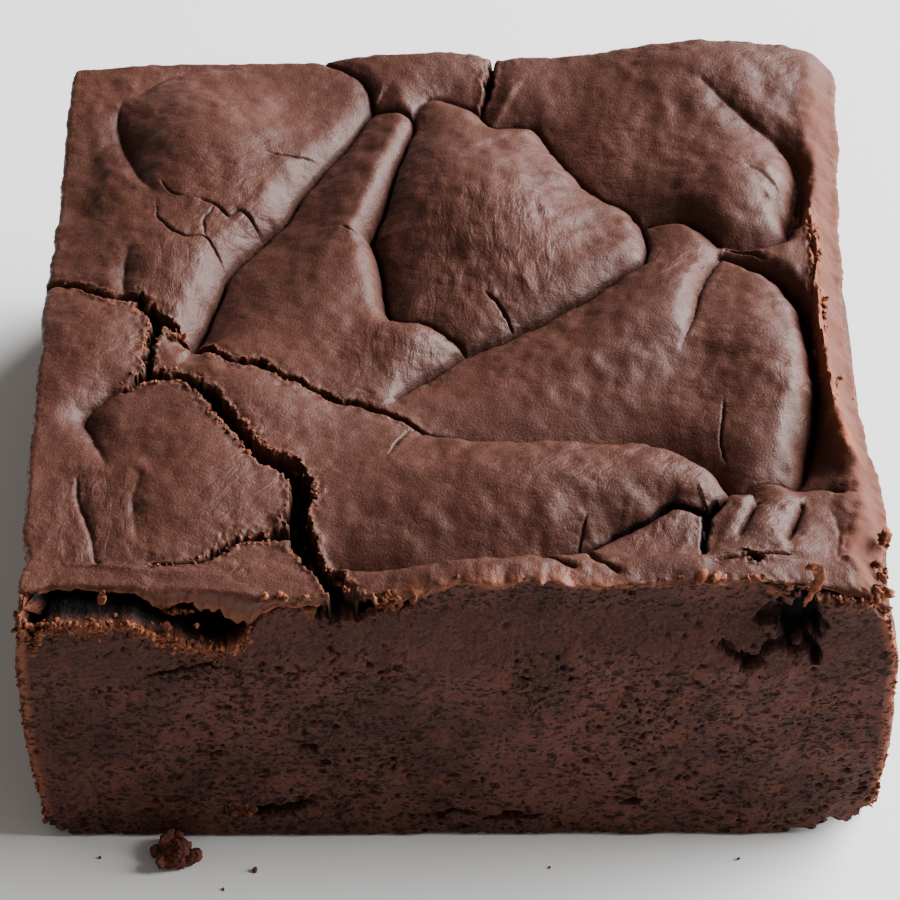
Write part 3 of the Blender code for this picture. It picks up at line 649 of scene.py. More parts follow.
def cell_bumps(places, size, seed):
    """Rounded bumps of about the given size with sharp valleys between: 1 on top, lower in the valleys."""
    nearest = np.full(len(places), np.inf)
    for spot, jitter, scaled in neighbours(places, size, seed):
        nearest = np.minimum(nearest, ((scaled - spot - 0.5 - 0.42 * jitter) ** 2).sum(axis=1))
    return 1 - nearest


def patch_weights(places):
    """For each patch of wrinkles: its places, how strong it is there, and its way, size and depth."""
    for x, y, long, wide, turn, way, size, depth in WRINKLE_PATCHES.values():
        off = turned(places - (x, y), turn)
        near = np.nonzero(np.hypot(off[:, 0] / long, off[:, 1] / wide) < 1.9)[0]
        spread = np.exp(-((off[near, 0] / long) ** 2 + (off[near, 1] / wide) ** 2))
        yield near, smooth(1.6 * spread), way, size, depth


def wrinkles(places):
    """The wider of the short wrinkles, as a height."""
    bend = 0.4 * jumble(places, 1.7, (81, 85))
    total = np.zeros(len(places))
    for number, (near, weight, way, size, depth) in enumerate(patch_weights(places)):
        drawn_out = turned(places[near] + bend[near], way) * np.array([0.42, 1.0])
        seed = 301 + 7 * number
        rise = 0.6 * cell_bumps(drawn_out, size, seed) + 0.3 * noise(drawn_out, 0.8 * size, seed + 3) - 0.3
        uneven = 0.35 + 0.75 * smooth(0.5 + 0.8 * noise(places[near], 2.6, seed + 5))
        total[near] += depth * weight * uneven * rise
    return total


def streaks(places):
    """How strong the fine wrinkles are in each of the four ways that they run."""
    found = {"streak%d" % number: np.zeros(len(places)) for number in range(4)}
    for near, weight, way, _, depth in patch_weights(places):
        values = found["streak%d" % (round(way / 45) % 4)]
        values[near] = np.maximum(values[near], weight * min(4 * depth, 1))
    return found


# Meshes from split grids


def split_cells(halve, quarter):
    """The cells of a grid, split in two each way where halve says and in four where quarter does.

    halve has one entry for each cell and quarter one for each half cell, as rows from the front of
    columns from the left. A cell next to a quartered one is halved. The result is each cell's lower
    left corner and its size, in quarters of a whole cell.
    """
    rows, columns = halve.shape
    fine = np.pad(quarter.reshape(rows, 2, columns, 2).any(axis=(1, 3)), 1)
    for down in range(3):
        for across in range(3):
            halve = halve | fine[down:down + rows, across:across + columns]
    halves = halve.repeat(2, axis=0).repeat(2, axis=1)
    quarter = quarter & halves
    quarters = quarter.repeat(2, axis=0).repeat(2, axis=1)
    found = []
    for mask, size in ((~halve, 4), (halves & ~quarter, 2), (quarters, 1)):
        row, column = np.nonzero(mask)
        found.append(np.column_stack([column * size, row * size, np.full(len(row), size)]))
    return np.vstack(found)


def cell_faces(cells, columns, rows):
    """The faces of split cells as lists of corner numbers, and the corners as (column, row) in quarters."""
    across, down = 4 * columns + 1, 4 * rows + 1
    x, y, size = cells.T
    half = size // 2
    steps = [(0, 0), (1, 0), (2, 0), (2, 1), (2, 2), (1, 2), (0, 2), (0, 1)]
    spots = np.stack([(y + v * size // 2) * across + x + u * size // 2 for u, v in steps], axis=1)
    corner = np.array([u != 1 and v != 1 for u, v in steps])
    used = np.zeros(across * down, bool)
    used[spots[:, corner].ravel()] = True
    keep = used[spots] & (corner | (half > 0)[:, None])
    numbers = np.cumsum(used) - 1
    faces = [row[mask].tolist() for row, mask in zip(numbers[spots], keep)]
    row, column = np.divmod(np.nonzero(used)[0], across)
    return faces, np.column_stack([column, row])


def rings_of(faces):
    """The loops of corners round the open edges of some faces, each in the direction of its faces."""
    ends = [(a, b) for face in faces for a, b in zip(face, face[1:] + face[:1])]
    known = set(ends)
    after = {a: b for a, b in ends if (b, a) not in known}
    rings = []
    while after:
        start, place = after.popitem()
        ring = [start]
        while place != start:
            ring.append(place)
            place = after.pop(place)
        rings.append(ring)
    return rings


def picked_out(faces, points, values, wanted):
    """The faces that a mask picks, with their own points and values, their outer ring and old numbers."""
    chosen = [face for face, is_wanted in zip(faces, wanted) if is_wanted]
    used = np.array(sorted({corner for face in chosen for corner in face}))
    number = {corner: index for index, corner in enumerate(used.tolist())}
    chosen = [[number[corner] for corner in face] for face in chosen]
    ring = max(rings_of(chosen), key=len)
    return chosen, points[used], {key: numbers[used] for key, numbers in values.items()}, ring, used


def closed_with(points, faces, ring, loops):
    """Adds the loops one after another from a ring of open edges, then a flat cap over the last one."""
    above = ring
    for loop in loops:
        below = list(range(len(points), len(points) + len(loop)))
        points = np.vstack([points, loop])
        count = len(loop)
        for i in range(count):
            j = (i + 1) % count
            faces.append([above[j], above[i], below[i], below[j]])
        above = below
    faces.append(above[::-1])
    return points, faces


def linked(name, data):
    """An object with the given data, in the scene."""
    made = bpy.data.objects.new(name, data)
    bpy.context.scene.collection.objects.link(made)
    return made


def mesh_piece(name, points, faces, values, material):
    """A smooth-shaded object from points in millimetres, with named values at the first of them.

    The other points, which close it out of sight, get the full painted shade of the deep and hollow marks.
    """
    mesh = bpy.data.meshes.new(name)
    mesh.from_pydata((points * MM).tolist(), [], faces)
    mesh.validate()
    for key, numbers in values.items():
        everywhere = np.full(len(points), key in ("deep", "hollow"), np.float32)
        everywhere[:len(numbers)] = numbers
        mesh.attributes.new(key, "FLOAT", "POINT").data.foreach_set("value", everywhere)
    mesh.materials.append(material)
    mesh.shade_smooth()
    mesh.set_sharp_from_angle(angle=np.radians(SHARP_ANGLE))
    return linked(name, mesh)


def lowest_nearby(ring_points, reach):
    """For each point of a ring, the lowest height among the ring's points within reach of it."""
    lowest = ring_points[:, 2].copy()
    for index, point in enumerate(ring_points):
        away = np.hypot(ring_points[:, 0] - point[0], ring_points[:, 1] - point[1])
        lowest[index] = ring_points[away < reach, 2].min()
    return lowest


# The outline


def edge_offsets(place, height_share, of_wall=True):
    """How far the cut sides stand out of straight along X and Y. height_share is 1 at the top edge."""
    x, y = place.T
    top = smooth((height_share - 0.72) / 0.25)
    foot = smooth((0.45 - height_share) / 0.4)
    middle = 1 - top - foot
    shifts = {}
    for side, along in (("left", y), ("right", y), ("front", x), ("back", x)):
        places, amounts = zip(*(FRONT_WALL_TOP if of_wall and side == "front" else TOP_OUTLINE[side]))
        near_end, far_end, bottom = WALL_OUTLINE[side]
        belly = near_end + (far_end - near_end) * smooth((along + HALF_DEPTH) / 22)
        shifts[side] = top * np.interp(along, places, amounts) + middle * belly + foot * bottom
    out = np.column_stack([
        np.where(x < 0, -shifts["left"], shifts["right"]),
        np.where(y < 0, -shifts["front"], shifts["back"]),
    ])
    return out * smooth((np.abs(place) - HALF_SIDES + 6) / 5)


def rounded_corners(places, half_sides, radius):
    """Places on a rectangle's rim, with those beyond where a corner's arc begins moved onto the arc."""
    middle = half_sides - radius[:, None]
    past = np.abs(places) - middle
    pull = radius / np.maximum(np.hypot(*past.T), 1e-9)
    on_arc = np.sign(places) * (middle + past * pull[:, None])
    return np.where((past > 0).all(axis=1)[:, None], on_arc, places)


def edge_profile():
    """The rolled edge's section: length along it, how far out from where it starts, and how far down."""
    turn = np.linspace(0, np.pi / 2, 9)
    out = EDGE_ROLL * np.sin(turn)
    down = EDGE_ROLL * (1 - np.cos(turn))
    out = np.append(out, EDGE_ROLL - EDGE_TUCK * (1 - np.cos(turn)))
    down = np.append(down, EDGE_ROLL + EDGE_HANG + EDGE_TUCK * np.sin(turn))
    out = np.append(out, out[-1] - EDGE_BACK)
    down = np.append(down, down[-1])
    length = np.append(0, np.cumsum(np.hypot(np.diff(out), np.diff(down))))
    return length, out, down


PROFILE = edge_profile()
FOLD_LENGTH = PROFILE[0][-1]
EDGE_FALL = PROFILE[2].max()
HALF_SHEET = HALF_SIDES - EDGE_ROLL + FOLD_LENGTH


def sheet_to_plan(spots):
    """Where the sheet's spots lie in plan, how far down the edge takes them, and how far over it they are.

    The last two are 0 and negative on the sheet's flat middle.
    """
    margin = (HALF_SHEET - np.abs(spots)).min(axis=1)
    over = FOLD_LENGTH - margin
    out = np.where(over > 0, np.interp(over, PROFILE[0], PROFILE[1]), over)
    down = np.interp(over, PROFILE[0], PROFILE[2])
    sides = HALF_SIDES - EDGE_ROLL + out[:, None]
    plan = spots / np.maximum(HALF_SHEET - margin[:, None], 1e-9) * sides
    radius = np.clip(CORNER_ROUND - EDGE_ROLL + out, 1e-6, None)
    return rounded_corners(plan, sides, radius), down, over


# The crust sheets


def sheet_of(places, settings):
    """Which sheet each place is on: 0 and 1 are in front, 2 and 3 behind, and the odd ones on the left."""
    route = smooth_route(PARTING)
    ragged = wandered(places, settings.crack_wander / MM)
    behind = ragged[:, 1] > np.interp(ragged[:, 0], route[:, 0], route[:, 1])
    cross = smooth_route(CROSS_PARTING)
    lines = np.where(behind[:, None], wandered(places, settings.line_wander / MM), ragged)
    left = lines[:, 0] < np.interp(lines[:, 1], cross[:, 1], cross[:, 0])
    return 2 * behind + left


def detail_masks(centres):
    """Whether each place is near a crease, a crack or a hairline, and whether it is by its sharp line."""
    halve = np.zeros(len(centres), bool)
    quarter = np.zeros(len(centres), bool)
    for line in CREASES.values():
        near, distance, _, _ = near_route(line["route"], centres, 1.3)
        halve[near] = True
        if line["nip"] > 0.4:
            quarter[near[distance < 0.25]] = True
    for points, _, gaps in CRACKS.values():
        near, distance, _, along = near_route(points, centres, 1.8)
        halve[near] = True
        quarter[near[np.abs(distance - at_thirds(along, gaps)) < 0.5]] = True
    for points, _ in HAIRLINES.values():
        near, distance, _, _ = near_route(points, centres, 0.6)
        halve[near] = True
        quarter[near[distance < 0.22]] = True
    return halve, quarter


def crust_sheets(settings):
    """The crust as one split grid: its faces, its points, each face's sheet, its border and its values."""
    columns, rows = (round(2 * side / (settings.cell / MM)) for side in HALF_SHEET)
    quarters = np.array([2 * columns, 2 * rows])

    def centres(parts):
        steps = [((np.arange(n * parts) + 0.5) / (n * parts) * 2 - 1) for n in (columns, rows)]
        grids = np.meshgrid(*(step * side for step, side in zip(steps, HALF_SHEET)))
        return np.column_stack([grid.ravel() for grid in grids])

    wide, fine = centres(1), centres(2)
    halve, _ = detail_masks(wide)
    halve |= (HALF_SHEET - np.abs(wide)).min(axis=1) < FOLD_LENGTH + 0.3
    _, quarter = detail_masks(fine)
    from_front = fine[:, 1] + HALF_SHEET[1]
    quarter |= (from_front < FOLD_LENGTH) & (from_front > 0.5)
    cells = split_cells(halve.reshape(rows, columns), quarter.reshape(2 * rows, 2 * columns))
    faces, corners = cell_faces(cells, columns, rows)
    spots = (corners / quarters - 1) * HALF_SHEET
    plan, down, over = sheet_to_plan(spots)
    height, marks = crust_relief(plan, settings)
    shift = edge_offsets(plan, np.ones(len(plan)), of_wall=False)
    lip = smooth(over / 0.5)
    hem = smooth((over / FOLD_LENGTH - 0.45) / 0.2)
    knobs = edge_knobs(plan, down, lip, hem)
    at_front = plan[:, 1] < -HALF_DEPTH + 1.5
    for x, below, long, high, out in LIP_KNOBS:
        bump = at_front * np.exp(-(((plan[:, 0] - x) / long) ** 2) - ((over - below) / high) ** 2)
        knobs += out * bump
        marks["crest"] = np.maximum(marks["crest"], 0.7 * bump)
    # Painted shade in the trenches where they cut through the rolled edge
    marks["deep"] = np.maximum(marks["deep"], lip * marks.pop("sunk"))
    outward = plan / np.maximum(np.abs(plan / HALF_SIDES).max(axis=1), 0.5)[:, None]
    outward = outward / np.linalg.norm(outward, axis=1)[:, None]
    points = np.column_stack([plan + shift + outward * knobs[:, None], height - down * lip_droop(plan)])
    centre = ((cells[:, :2] + cells[:, 2:] / 2) / quarters - 1) * HALF_SHEET
    sheet = sheet_of(sheet_to_plan(centre)[0], settings)
    border = (np.abs(spots) / HALF_SHEET).max(axis=1) > 1 - 1e-6
    return faces, points, sheet, border, {**marks, "lip": lip, "hem": hem}


def edge_knobs(plan, down, lip, hem):
    """How far the small knobs of the crust's rolled edge stand out, with finer ones on its lower border."""
    around = np.column_stack([plan[:, 0] + plan[:, 1], down * 1.3 + 0.3 * plan[:, 0]])
    knobs = 0.3 * cell_bumps(around + 0.3 * fractal(around, 1.5, 112)[:, None], 1.5, 113)
    knobs = (knobs + 0.15 * cell_bumps(around, 0.7, 115) + 0.2 * fractal(plan, 4.0, 111) - 0.25) * lip
    return knobs + hem * (0.3 * cell_bumps(around, 0.5, 117) + 0.2 * cell_bumps(around, 0.27, 119) - 0.3)


def crust_piece(name, faces, points, border, values, wanted, material):
    """One sheet of the crust, closed by its hidden underside."""
    chosen, own, values, ring, used = picked_out(faces, points, values, wanted)
    edge = own[ring]
    outer = border[used][ring]
    to_side = (HALF_SIDES - np.abs(edge[:, :2])).min(axis=1)
    low = lowest_nearby(edge, 4.0)
    loops = []
    for inset, z in (
        (SKIRT_INSET, np.where(outer, low, edge[:, 2]) - SKIRT_DROP),
        (HIDDEN_INSET, np.full(len(edge), CRUST_UNDERSIDE)),
    ):
        step = np.where(outer, inset, inset * (1 - smooth(to_side / (2.5 * inset))))
        loops.append(np.column_stack([edge[:, :2] * (1 - step[:, None] / HALF_SIDES), z]))
    own, chosen = closed_with(own, chosen, ring, loops)
    return mesh_piece(name, own, chosen, values, material)


# The crumb walls

# The wall's first straight, its straights along X and Y and its corner arcs, and where each stretch starts
FIRST_RUN = JUNCTION - CORNER_ROUND
RUN_X, RUN_Y = 2 * (HALF_SIDES - CORNER_ROUND)
ARC = np.pi / 2 * CORNER_ROUND
WALL_STARTS = np.cumsum([0, FIRST_RUN, ARC, RUN_X, ARC, RUN_Y, ARC, RUN_X, ARC, RUN_Y - FIRST_RUN])
# The height that the rows of faces up the wall fill evenly, as a share of the edge height, and the share of
# the rows from which they begin to follow the wall's top
ROW_SHARE, FOLLOW_FROM = 0.94, 0.6
# The lower and the upper border of the band smeared by the knife
SMEAR_FOOT, SMEAR_TOP = 20.5, 26.0
# Where the painted light on the front corners begins in X, and how far back it reaches
LIT_CORNER_START, LIT_CORNER_BACK = 34.3, 3.0
# Depths of the wall's fine and broad unevenness, and the height of the crumbs on its ledges
FINE_GRAIN, BROAD_GRAIN, LEDGE_CRUMBS = 0.07, 0.16, 0.3


def wall_route(amount):
    """Where the wall stands at a distance along it from the left junction, and which way it faces out."""
    right, back = HALF_SIDES - CORNER_ROUND
    corners = [(-right, -back), (right, -back), (right, back), (-right, back)]
    runs = [(1, 0), (0, 1), (-1, 0), (0, -1)]
    lines = [((-right, -back + JUNCTION - CORNER_ROUND), runs[3], 180)]
    for quarter, (corner, run) in enumerate(zip(corners, runs)):
        lines += [(corner, None, (180 + 90 * quarter) % 360), (corner, run, (270 + 90 * quarter) % 360)]
    place = np.zeros((len(amount), 2))
    facing = np.zeros((len(amount), 2))
    for begins, ends, (start, run, degrees) in zip(WALL_STARTS, WALL_STARTS[1:], lines):
        here = (amount >= begins - 1e-9) & (amount <= ends + 1e-9)
        past = amount[here] - begins
        angle = np.radians(degrees) + (past / CORNER_ROUND if run is None else 0 * past)
        outward = np.column_stack([np.cos(angle), np.sin(angle)])
        centre = np.array(start) + (0 if run is None else past[:, None] * np.array(run))
        place[here] = centre + outward * CORNER_ROUND
        facing[here] = outward
    return place, facing


def pits(places, size, seed, share):
    """Round pits in space, 1 at a pit's middle and 0 outside, in a share of the cells of the given size."""
    deepest = np.zeros(len(places))
    for spot, jitter, scaled in neighbours(places, size, seed):
        middle = spot + 0.5 + 0.35 * jitter
        radius = 0.28 + 0.2 * lattice_value(spot, seed + 7)
        there = lattice_value(spot, seed + 9) < 2 * share - 1
        away = np.linalg.norm(scaled - middle, axis=1) / np.maximum(radius, 0.05)
        deepest = np.maximum(deepest, np.where(there, smooth(1.7 * (1 - away)), 0))
    return deepest


def wall_tops(rim):
    """How high the wall reaches under the crust's edge, from the lobes alone and lower by the cracks."""
    height = EDGE_HEIGHT + swell_height(rim) - EDGE_FALL * lip_droop(rim) - rim_fall(rim)
    for points, _, _ in CRACKS.values():
        for end in (points[0], points[-1]):
            if abs(end[0]) > HALF_WIDTH or abs(end[1]) > HALF_DEPTH:
                away = np.linalg.norm(rim - np.array(end), axis=1)
                height -= CRACK_NOTCH * smooth((3.6 - away) / 1.8)
    return height


def rim_fall(places):
    """How far the crust slopes down to its edge beyond the rim on the right."""
    return RIM_FALL * smooth((places[:, 0] - RIM_FALL_START) / RIM_FALL_WIDTH) ** 1.3


def lip_droop(places):
    """How much farther than usual the crust's edge hangs down, as a factor."""
    front = smooth((-places[:, 1] - HALF_DEPTH + 5) / 2)
    usual = 1 + front * (np.interp(places[:, 0], *zip(*FRONT_DROOP)) - 1)
    uneven = 1
    for share, size, seed in ((0.35, 3.1, 121), (0.3, 1.2, 122), (0.25, 0.5, 123)):
        uneven = uneven + share * noise(places, size, seed)
    return usual * uneven


def hollow_depth(x, z):
    """How deep the front wall's hollows are, and how much a place is a rusty ledge or coarse crumb."""
    spots = np.column_stack([x, z])
    ragged = spots + 0.5 * jumble(spots, 1.6, (131, 141), 4)
    rough = fractal(spots, 0.75, 155)
    above = z - np.interp(x, *zip(*GAP_FLOOR))
    uneven = 0.25 * fractal(spots, 1.1, 125) + 0.07 * noise(spots, 0.35, 126)
    above += uneven * (1 - smooth((above + 0.1) / 0.5))
    at_gap = smooth((LEDGE_END - x) / 1.0)
    middle_x, middle_z, long, high = COARSE_PATCH
    coarse = np.exp(-(((x - middle_x) / long) ** 2) - ((z - middle_z) / high) ** 2)
    halo = np.maximum(at_gap * smooth((above + 2.6) / 1.5), coarse)
    deepest = GAP_DEPTH * smooth(above / 0.5) * smooth((GAP_END - x) / 0.5)
    ledge = at_gap * smooth((above + 1.3) / 1.0)
    for middle_x, middle_z, long, high, turn, depth in FRONT_HOLLOWS.values():
        off = turned(ragged - (middle_x, middle_z), turn)
        is_ragged = depth > RAGGED_DEPTH
        r = np.hypot(off[:, 0] / long, off[:, 1] / high) + (0.3 * rough if is_ragged else 0)
        deepest = np.maximum(deepest, depth * smooth((1.25 - r) / (0.6 if is_ragged else 0.35)))
        halo = np.maximum(halo, 0.6 * depth * smooth((2.6 - r) / 1.6))
        if depth > LEDGE_DEPTH and middle_z > LEDGE_HEIGHT:
            past = (r - 1.1) * high
            ledge = np.maximum(ledge, np.where(off[:, 1] < 0.3, np.exp(-((past / 0.5) ** 2)), 0))
    patchy = smooth(0.8 + 1.2 * noise(spots, 0.9, 145) + 0.9 * noise(spots, 0.3, 146))
    return deepest, ledge * (1 - smooth(deepest / 0.9)) * patchy, np.minimum(halo, 1)


def wall_grid(cell):
    """The walls as a split grid: its faces, each point's way along the wall and share of its height, and
    which faces are in the front band."""
    front_length = WALL_STARTS[4] + JUNCTION - CORNER_ROUND
    other_length = WALL_STARTS[-1] - front_length
    front_columns, other_columns = round(front_length / cell), round(other_length / cell)
    columns, rows = front_columns + other_columns, round(ROW_SHARE * EDGE_HEIGHT / cell)
    quarter = np.zeros((2 * rows, 2 * columns), bool)
    margin = 2 * round(0.75 * JUNCTION / cell)
    quarter[:, margin:2 * front_columns - margin] = True
    cells = split_cells(np.ones((rows, columns), bool), quarter)
    faces, corners = cell_faces(cells, columns, rows)
    column = corners[:, 0] / 4
    amount = np.where(
        column <= front_columns,
        column / front_columns * front_length,
        front_length + (column - front_columns) / other_columns * other_length,
    )
    return faces, amount, corners[:, 1] / (4 * rows), cells[:, 0] < 4 * front_columns


def wall_pores(spots, smear, halo, settings):
    """The shaped pores of two sizes, 1 inside them: fewer where the wall is smeared, more by the hollows."""
    size = settings.pore_size / MM
    squashed = spots * np.array([1.0, 1.0, 1.4]) + 0.25 * jumble(spots, 0.9, (171, 181, 191))
    large = pits(squashed, size, 201, 0.55 * (1 - 0.8 * smear) + 0.5 * halo)
    small = pits(squashed, 0.55 * size, 221, 0.5 * (1 - 0.6 * smear) + 0.6 * halo)
    patch = 0.5 + 0.5 * fractal(spots, 7.0, 161)
    return np.maximum(large, 0.7 * small) * np.maximum(smooth(patch * 1.6), halo)


def crumb_walls(settings):
    """The four cut walls as one split grid: faces, points, which faces are in front, and values."""
    faces, amount, share, at_front = wall_grid(settings.cell / MM)
    place, facing = wall_route(amount)
    lip_foot = wall_tops(place - 0.3 * facing)
    top = lip_foot + 0.3
    z = PLAIN_HEIGHT * share + (top - PLAIN_HEIGHT) * smooth((share - FOLLOW_FROM) / 0.4)
    spots = np.column_stack([place, z])
    on_front = smooth(-facing[:, 1] * 4 - 2.9)
    hollow, ledge, halo = (numbers * on_front for numbers in hollow_depth(place[:, 0], z))
    smear = smooth((z - SMEAR_FOOT + 2.0 * noise(spots, 7.0, 151)) / 2.0)
    smear = smear * (1 - smooth((z - SMEAR_TOP) / 1.5))
    pore = wall_pores(spots, smear, halo, settings)
    tuck = WALL_TUCK * smooth((z - lip_foot + 0.1) / 0.25)
    foot = settings.foot_round / MM * shoulder(z / (settings.foot_round / MM))
    bits = cell_bumps(spots, 0.6, 147) + 0.6 * cell_bumps(spots, 0.3, 149) - 0.8
    inward = tuck + foot + hollow + settings.pore_depth / MM * pore - LEDGE_CRUMBS * ledge * bits
    grain = FINE_GRAIN * fractal(spots, 0.8, 241) + BROAD_GRAIN * fractal(spots, 5.0, 251)
    inward = np.where(tuck + hollow > 0.3, inward, inward - grain)
    moved = place + edge_offsets(place, z / EDGE_HEIGHT) - facing * inward[:, None]
    points = np.column_stack([moved + chipped_corners(place, z).T, z])
    # Painted light on the front corners, where they catch the light
    side = smooth((np.abs(place[:, 0]) - LIT_CORNER_START) / 0.8)
    side = side * smooth((-place[:, 1] - HALF_DEPTH + LIT_CORNER_BACK) / 1.5)
    values = {"side": side, "pore": pore, "smear": smear, "hollow": hollow, "ledge": ledge}
    return faces, points, at_front, values


def chipped_corners(place, z):
    """How far the front foot corners are cut in along X and Y where they are chipped."""
    total = np.zeros((2, len(z)))
    spots = np.column_stack([place, z])
    ragged = 0.7 * fractal(spots, 1.6, 261) + 0.35 * noise(spots, 0.5, 262)
    for high, start, depth in FOOT_CHIPS.values():
        way = np.sign(start)
        along = np.clip((way * place[:, 0] - abs(start)) / (HALF_WIDTH - abs(start)), 0, 1)
        back = np.clip((-place[:, 1] - FOOT_CHIP_BACK) / (HALF_DEPTH - FOOT_CHIP_BACK), 0, 1)
        reach = np.minimum(along, back)
        line = high * reach**1.5 + ragged * smooth(reach * 4)
        cut = depth * smooth(reach) * smooth((line - z) / 0.45)
        total += np.array([-way * cut, cut])
    return total


def crumb_piece(name, faces, points, values, wanted, material):
    """A band of the crumb walls, closed by a hidden top, a flat base and a flat face at its junctions."""
    chosen, own, values, ring, _ = picked_out(faces, points, values, wanted)
    heights = own[ring][:, 2]
    start = next(i for i in range(len(ring)) if heights[i - 1] > 0 and heights[i] == 0)
    ring = ring[start:] + ring[:start]
    heights = own[ring][:, 2]
    base = [corner for corner, height in zip(ring, heights) if height == 0]
    rest = ring[len(base):]
    junction_y = -HALF_DEPTH + JUNCTION
    on_cut = np.abs(own[rest][:, 1] - junction_y) < 1e-6
    first_top = int(np.argmin(on_cut)) - 1
    last_top = len(rest) - int(np.argmin(on_cut[::-1]))
    top = rest[first_top:last_top + 1]
    edge = own[top]
    scale = 1 - CRUMB_INSET / HALF_SIDES
    inner = np.column_stack([edge[:, :2] * scale, np.full(len(edge), CRUMB_TOP)])
    held = np.minimum if edge[:, 1].mean() < junction_y else np.maximum
    inner[:, 1] = held(inner[:, 1], junction_y)
    inner[[0, -1], 1] = junction_y
    numbers = list(range(len(own), len(own) + len(inner)))
    own = np.vstack([own, inner])
    for i in range(len(top) - 1):
        chosen.append([top[i + 1], top[i], numbers[i], numbers[i + 1]])
    cut = [*rest[last_top:][::-1], numbers[-1], numbers[0], *rest[:first_top + 1][::-1]]
    chosen += [numbers[::-1], base[::-1], [base[0], *cut, base[-1]]]
    return mesh_piece(name, own, chosen, values, material)


# Materials

# The size of the skin's leathery bumps, and the depths of the crumb's grain and tiniest pores, in metres
LEATHER_SIZE = 0.0007
GRAIN_DEPTH, TINY_PORE_DEPTH = 0.00022, 0.00025
# How strongly the fine wrinkles show
STREAK_STRENGTH = 1.9


def filled(tree, node, inputs):
    """The node with its inputs filled: each with a value, or with another node's output."""
    for key, value in inputs.items():
        if isinstance(value, bpy.types.NodeSocket):
            tree.links.new(value, node.inputs[key])
        else:
            node.inputs[key].default_value = value
    return node


def shader_node(tree, kind, inputs=None, **settings):
    """A new node with its settings made and its inputs filled."""
    node = tree.nodes.new(kind)
    for key, value in settings.items():
        setattr(node, key, value)
    return filled(tree, node, inputs or {})


def texture_noise(tree, where, scale, detail=3.0, roughness=0.55, distortion=0.0):
    """A noise pattern's value on the given coordinates."""
    inputs = {"Vector": where, "Scale": scale, "Detail": detail}
    inputs.update({"Roughness": roughness, "Distortion": distortion})
    return shader_node(tree, "ShaderNodeTexNoise", inputs).outputs["Fac"]


def calculated(tree, operation, first, second=0.0, third=0.0):
    """One Math node's result."""
    inputs = {0: first, 1: second, 2: third}
    return shader_node(tree, "ShaderNodeMath", inputs, operation=operation).outputs[0]


def vector_maths(tree, operation, first, second):
    """One Vector Math node's result. For SCALE, the second input is the factor."""
    inputs = {0: first, "Scale" if operation == "SCALE" else 1: second}
    return shader_node(tree, "ShaderNodeVectorMath", inputs, operation=operation).outputs[0]


def in_range(tree, value, low, high, to_low=0.0, to_high=1.0):
    """A value mapped from one range to another and held inside it."""
    inputs = {"Value": value, "From Min": low, "From Max": high, "To Min": to_low, "To Max": to_high}
    return shader_node(tree, "ShaderNodeMapRange", inputs, clamp=True).outputs["Result"]


def layered(tree, colour, layers):
    """The colour under others that are laid on it one after another, each as strongly as it says."""
    for strength, over in layers:
        inputs = {0: strength, 6: colour, 7: over}
        colour = shader_node(tree, "ShaderNodeMix", inputs, data_type="RGBA").outputs[2]
    return colour


def bumped(tree, height, distance, below=None):
    """The normal after a bump of the given depth, on top of another normal if one is given."""
    inputs = {"Height": height, "Distance": distance, "Strength": 1.0}
    if below is not None:
        inputs["Normal"] = below
    return shader_node(tree, "ShaderNodeBump", inputs).outputs["Normal"]


def attribute_value(tree, name, share=1.0):
    """A named value that was stored at the mesh's points, or a share of it."""
    node = shader_node(tree, "ShaderNodeAttribute", attribute_name=name, attribute_type="GEOMETRY")
    value = node.outputs["Fac"]
    return value if share == 1.0 else calculated(tree, "MULTIPLY", value, share)


def new_material(name):
    """An empty material with its principled shader, its node tree and its object coordinates."""
    material = bpy.data.materials.new(name)
    material.use_nodes = True
    tree = material.node_tree
    where = shader_node(tree, "ShaderNodeTexCoord").outputs["Object"]
    return material, tree, tree.nodes["Principled BSDF"], where


def stretched(tree, where, scale=(1, 1, 1), turn=0.0):
    """The coordinates turned about Z and scaled."""
    inputs = {"Vector": where, "Rotation": (0, 0, turn), "Scale": scale}
    return shader_node(tree, "ShaderNodeMapping", inputs).outputs[0]


def warped(tree, onto, where, scale, detail, amount):
    """Some coordinates shifted by up to the given amount, by a noise of the given scale in others."""
    noise_inputs = {"Vector": where, "Scale": scale, "Detail": detail}
    shift = shader_node(tree, "ShaderNodeTexNoise", noise_inputs).outputs["Color"]
    return vector_maths(tree, "ADD", onto, vector_maths(tree, "SCALE", shift, amount))


def skin_bumps(tree, where, size):
    """Rounded bumps of about the given size in metres with sharp valleys between them."""
    bent = warped(tree, where, where, 0.5 / size, 1.0, 1.6 * size)
    squeezed = stretched(tree, bent, (0.6, 1, 1), -0.9)
    cells = shader_node(tree, "ShaderNodeTexVoronoi", {"Vector": squeezed, "Scale": 1 / size})
    far = cells.outputs["Distance"]
    return calculated(tree, "SUBTRACT", 1.0, calculated(tree, "MULTIPLY", far, far))


def streak_height(tree, where, height):
    """The height with the fine wrinkles added to it, in each of the four ways that they run."""
    for number in range(4):
        bent = stretched(tree, where, turn=-np.radians(45 * number))
        lines = texture_noise(tree, stretched(tree, bent, (0.42, 1, 0.6)), 1000, 3, 0.5, 1.2)
        amount = attribute_value(tree, "streak%d" % number, STREAK_STRENGTH)
        height = calculated(tree, "MULTIPLY_ADD", lines, amount, height)
    return height


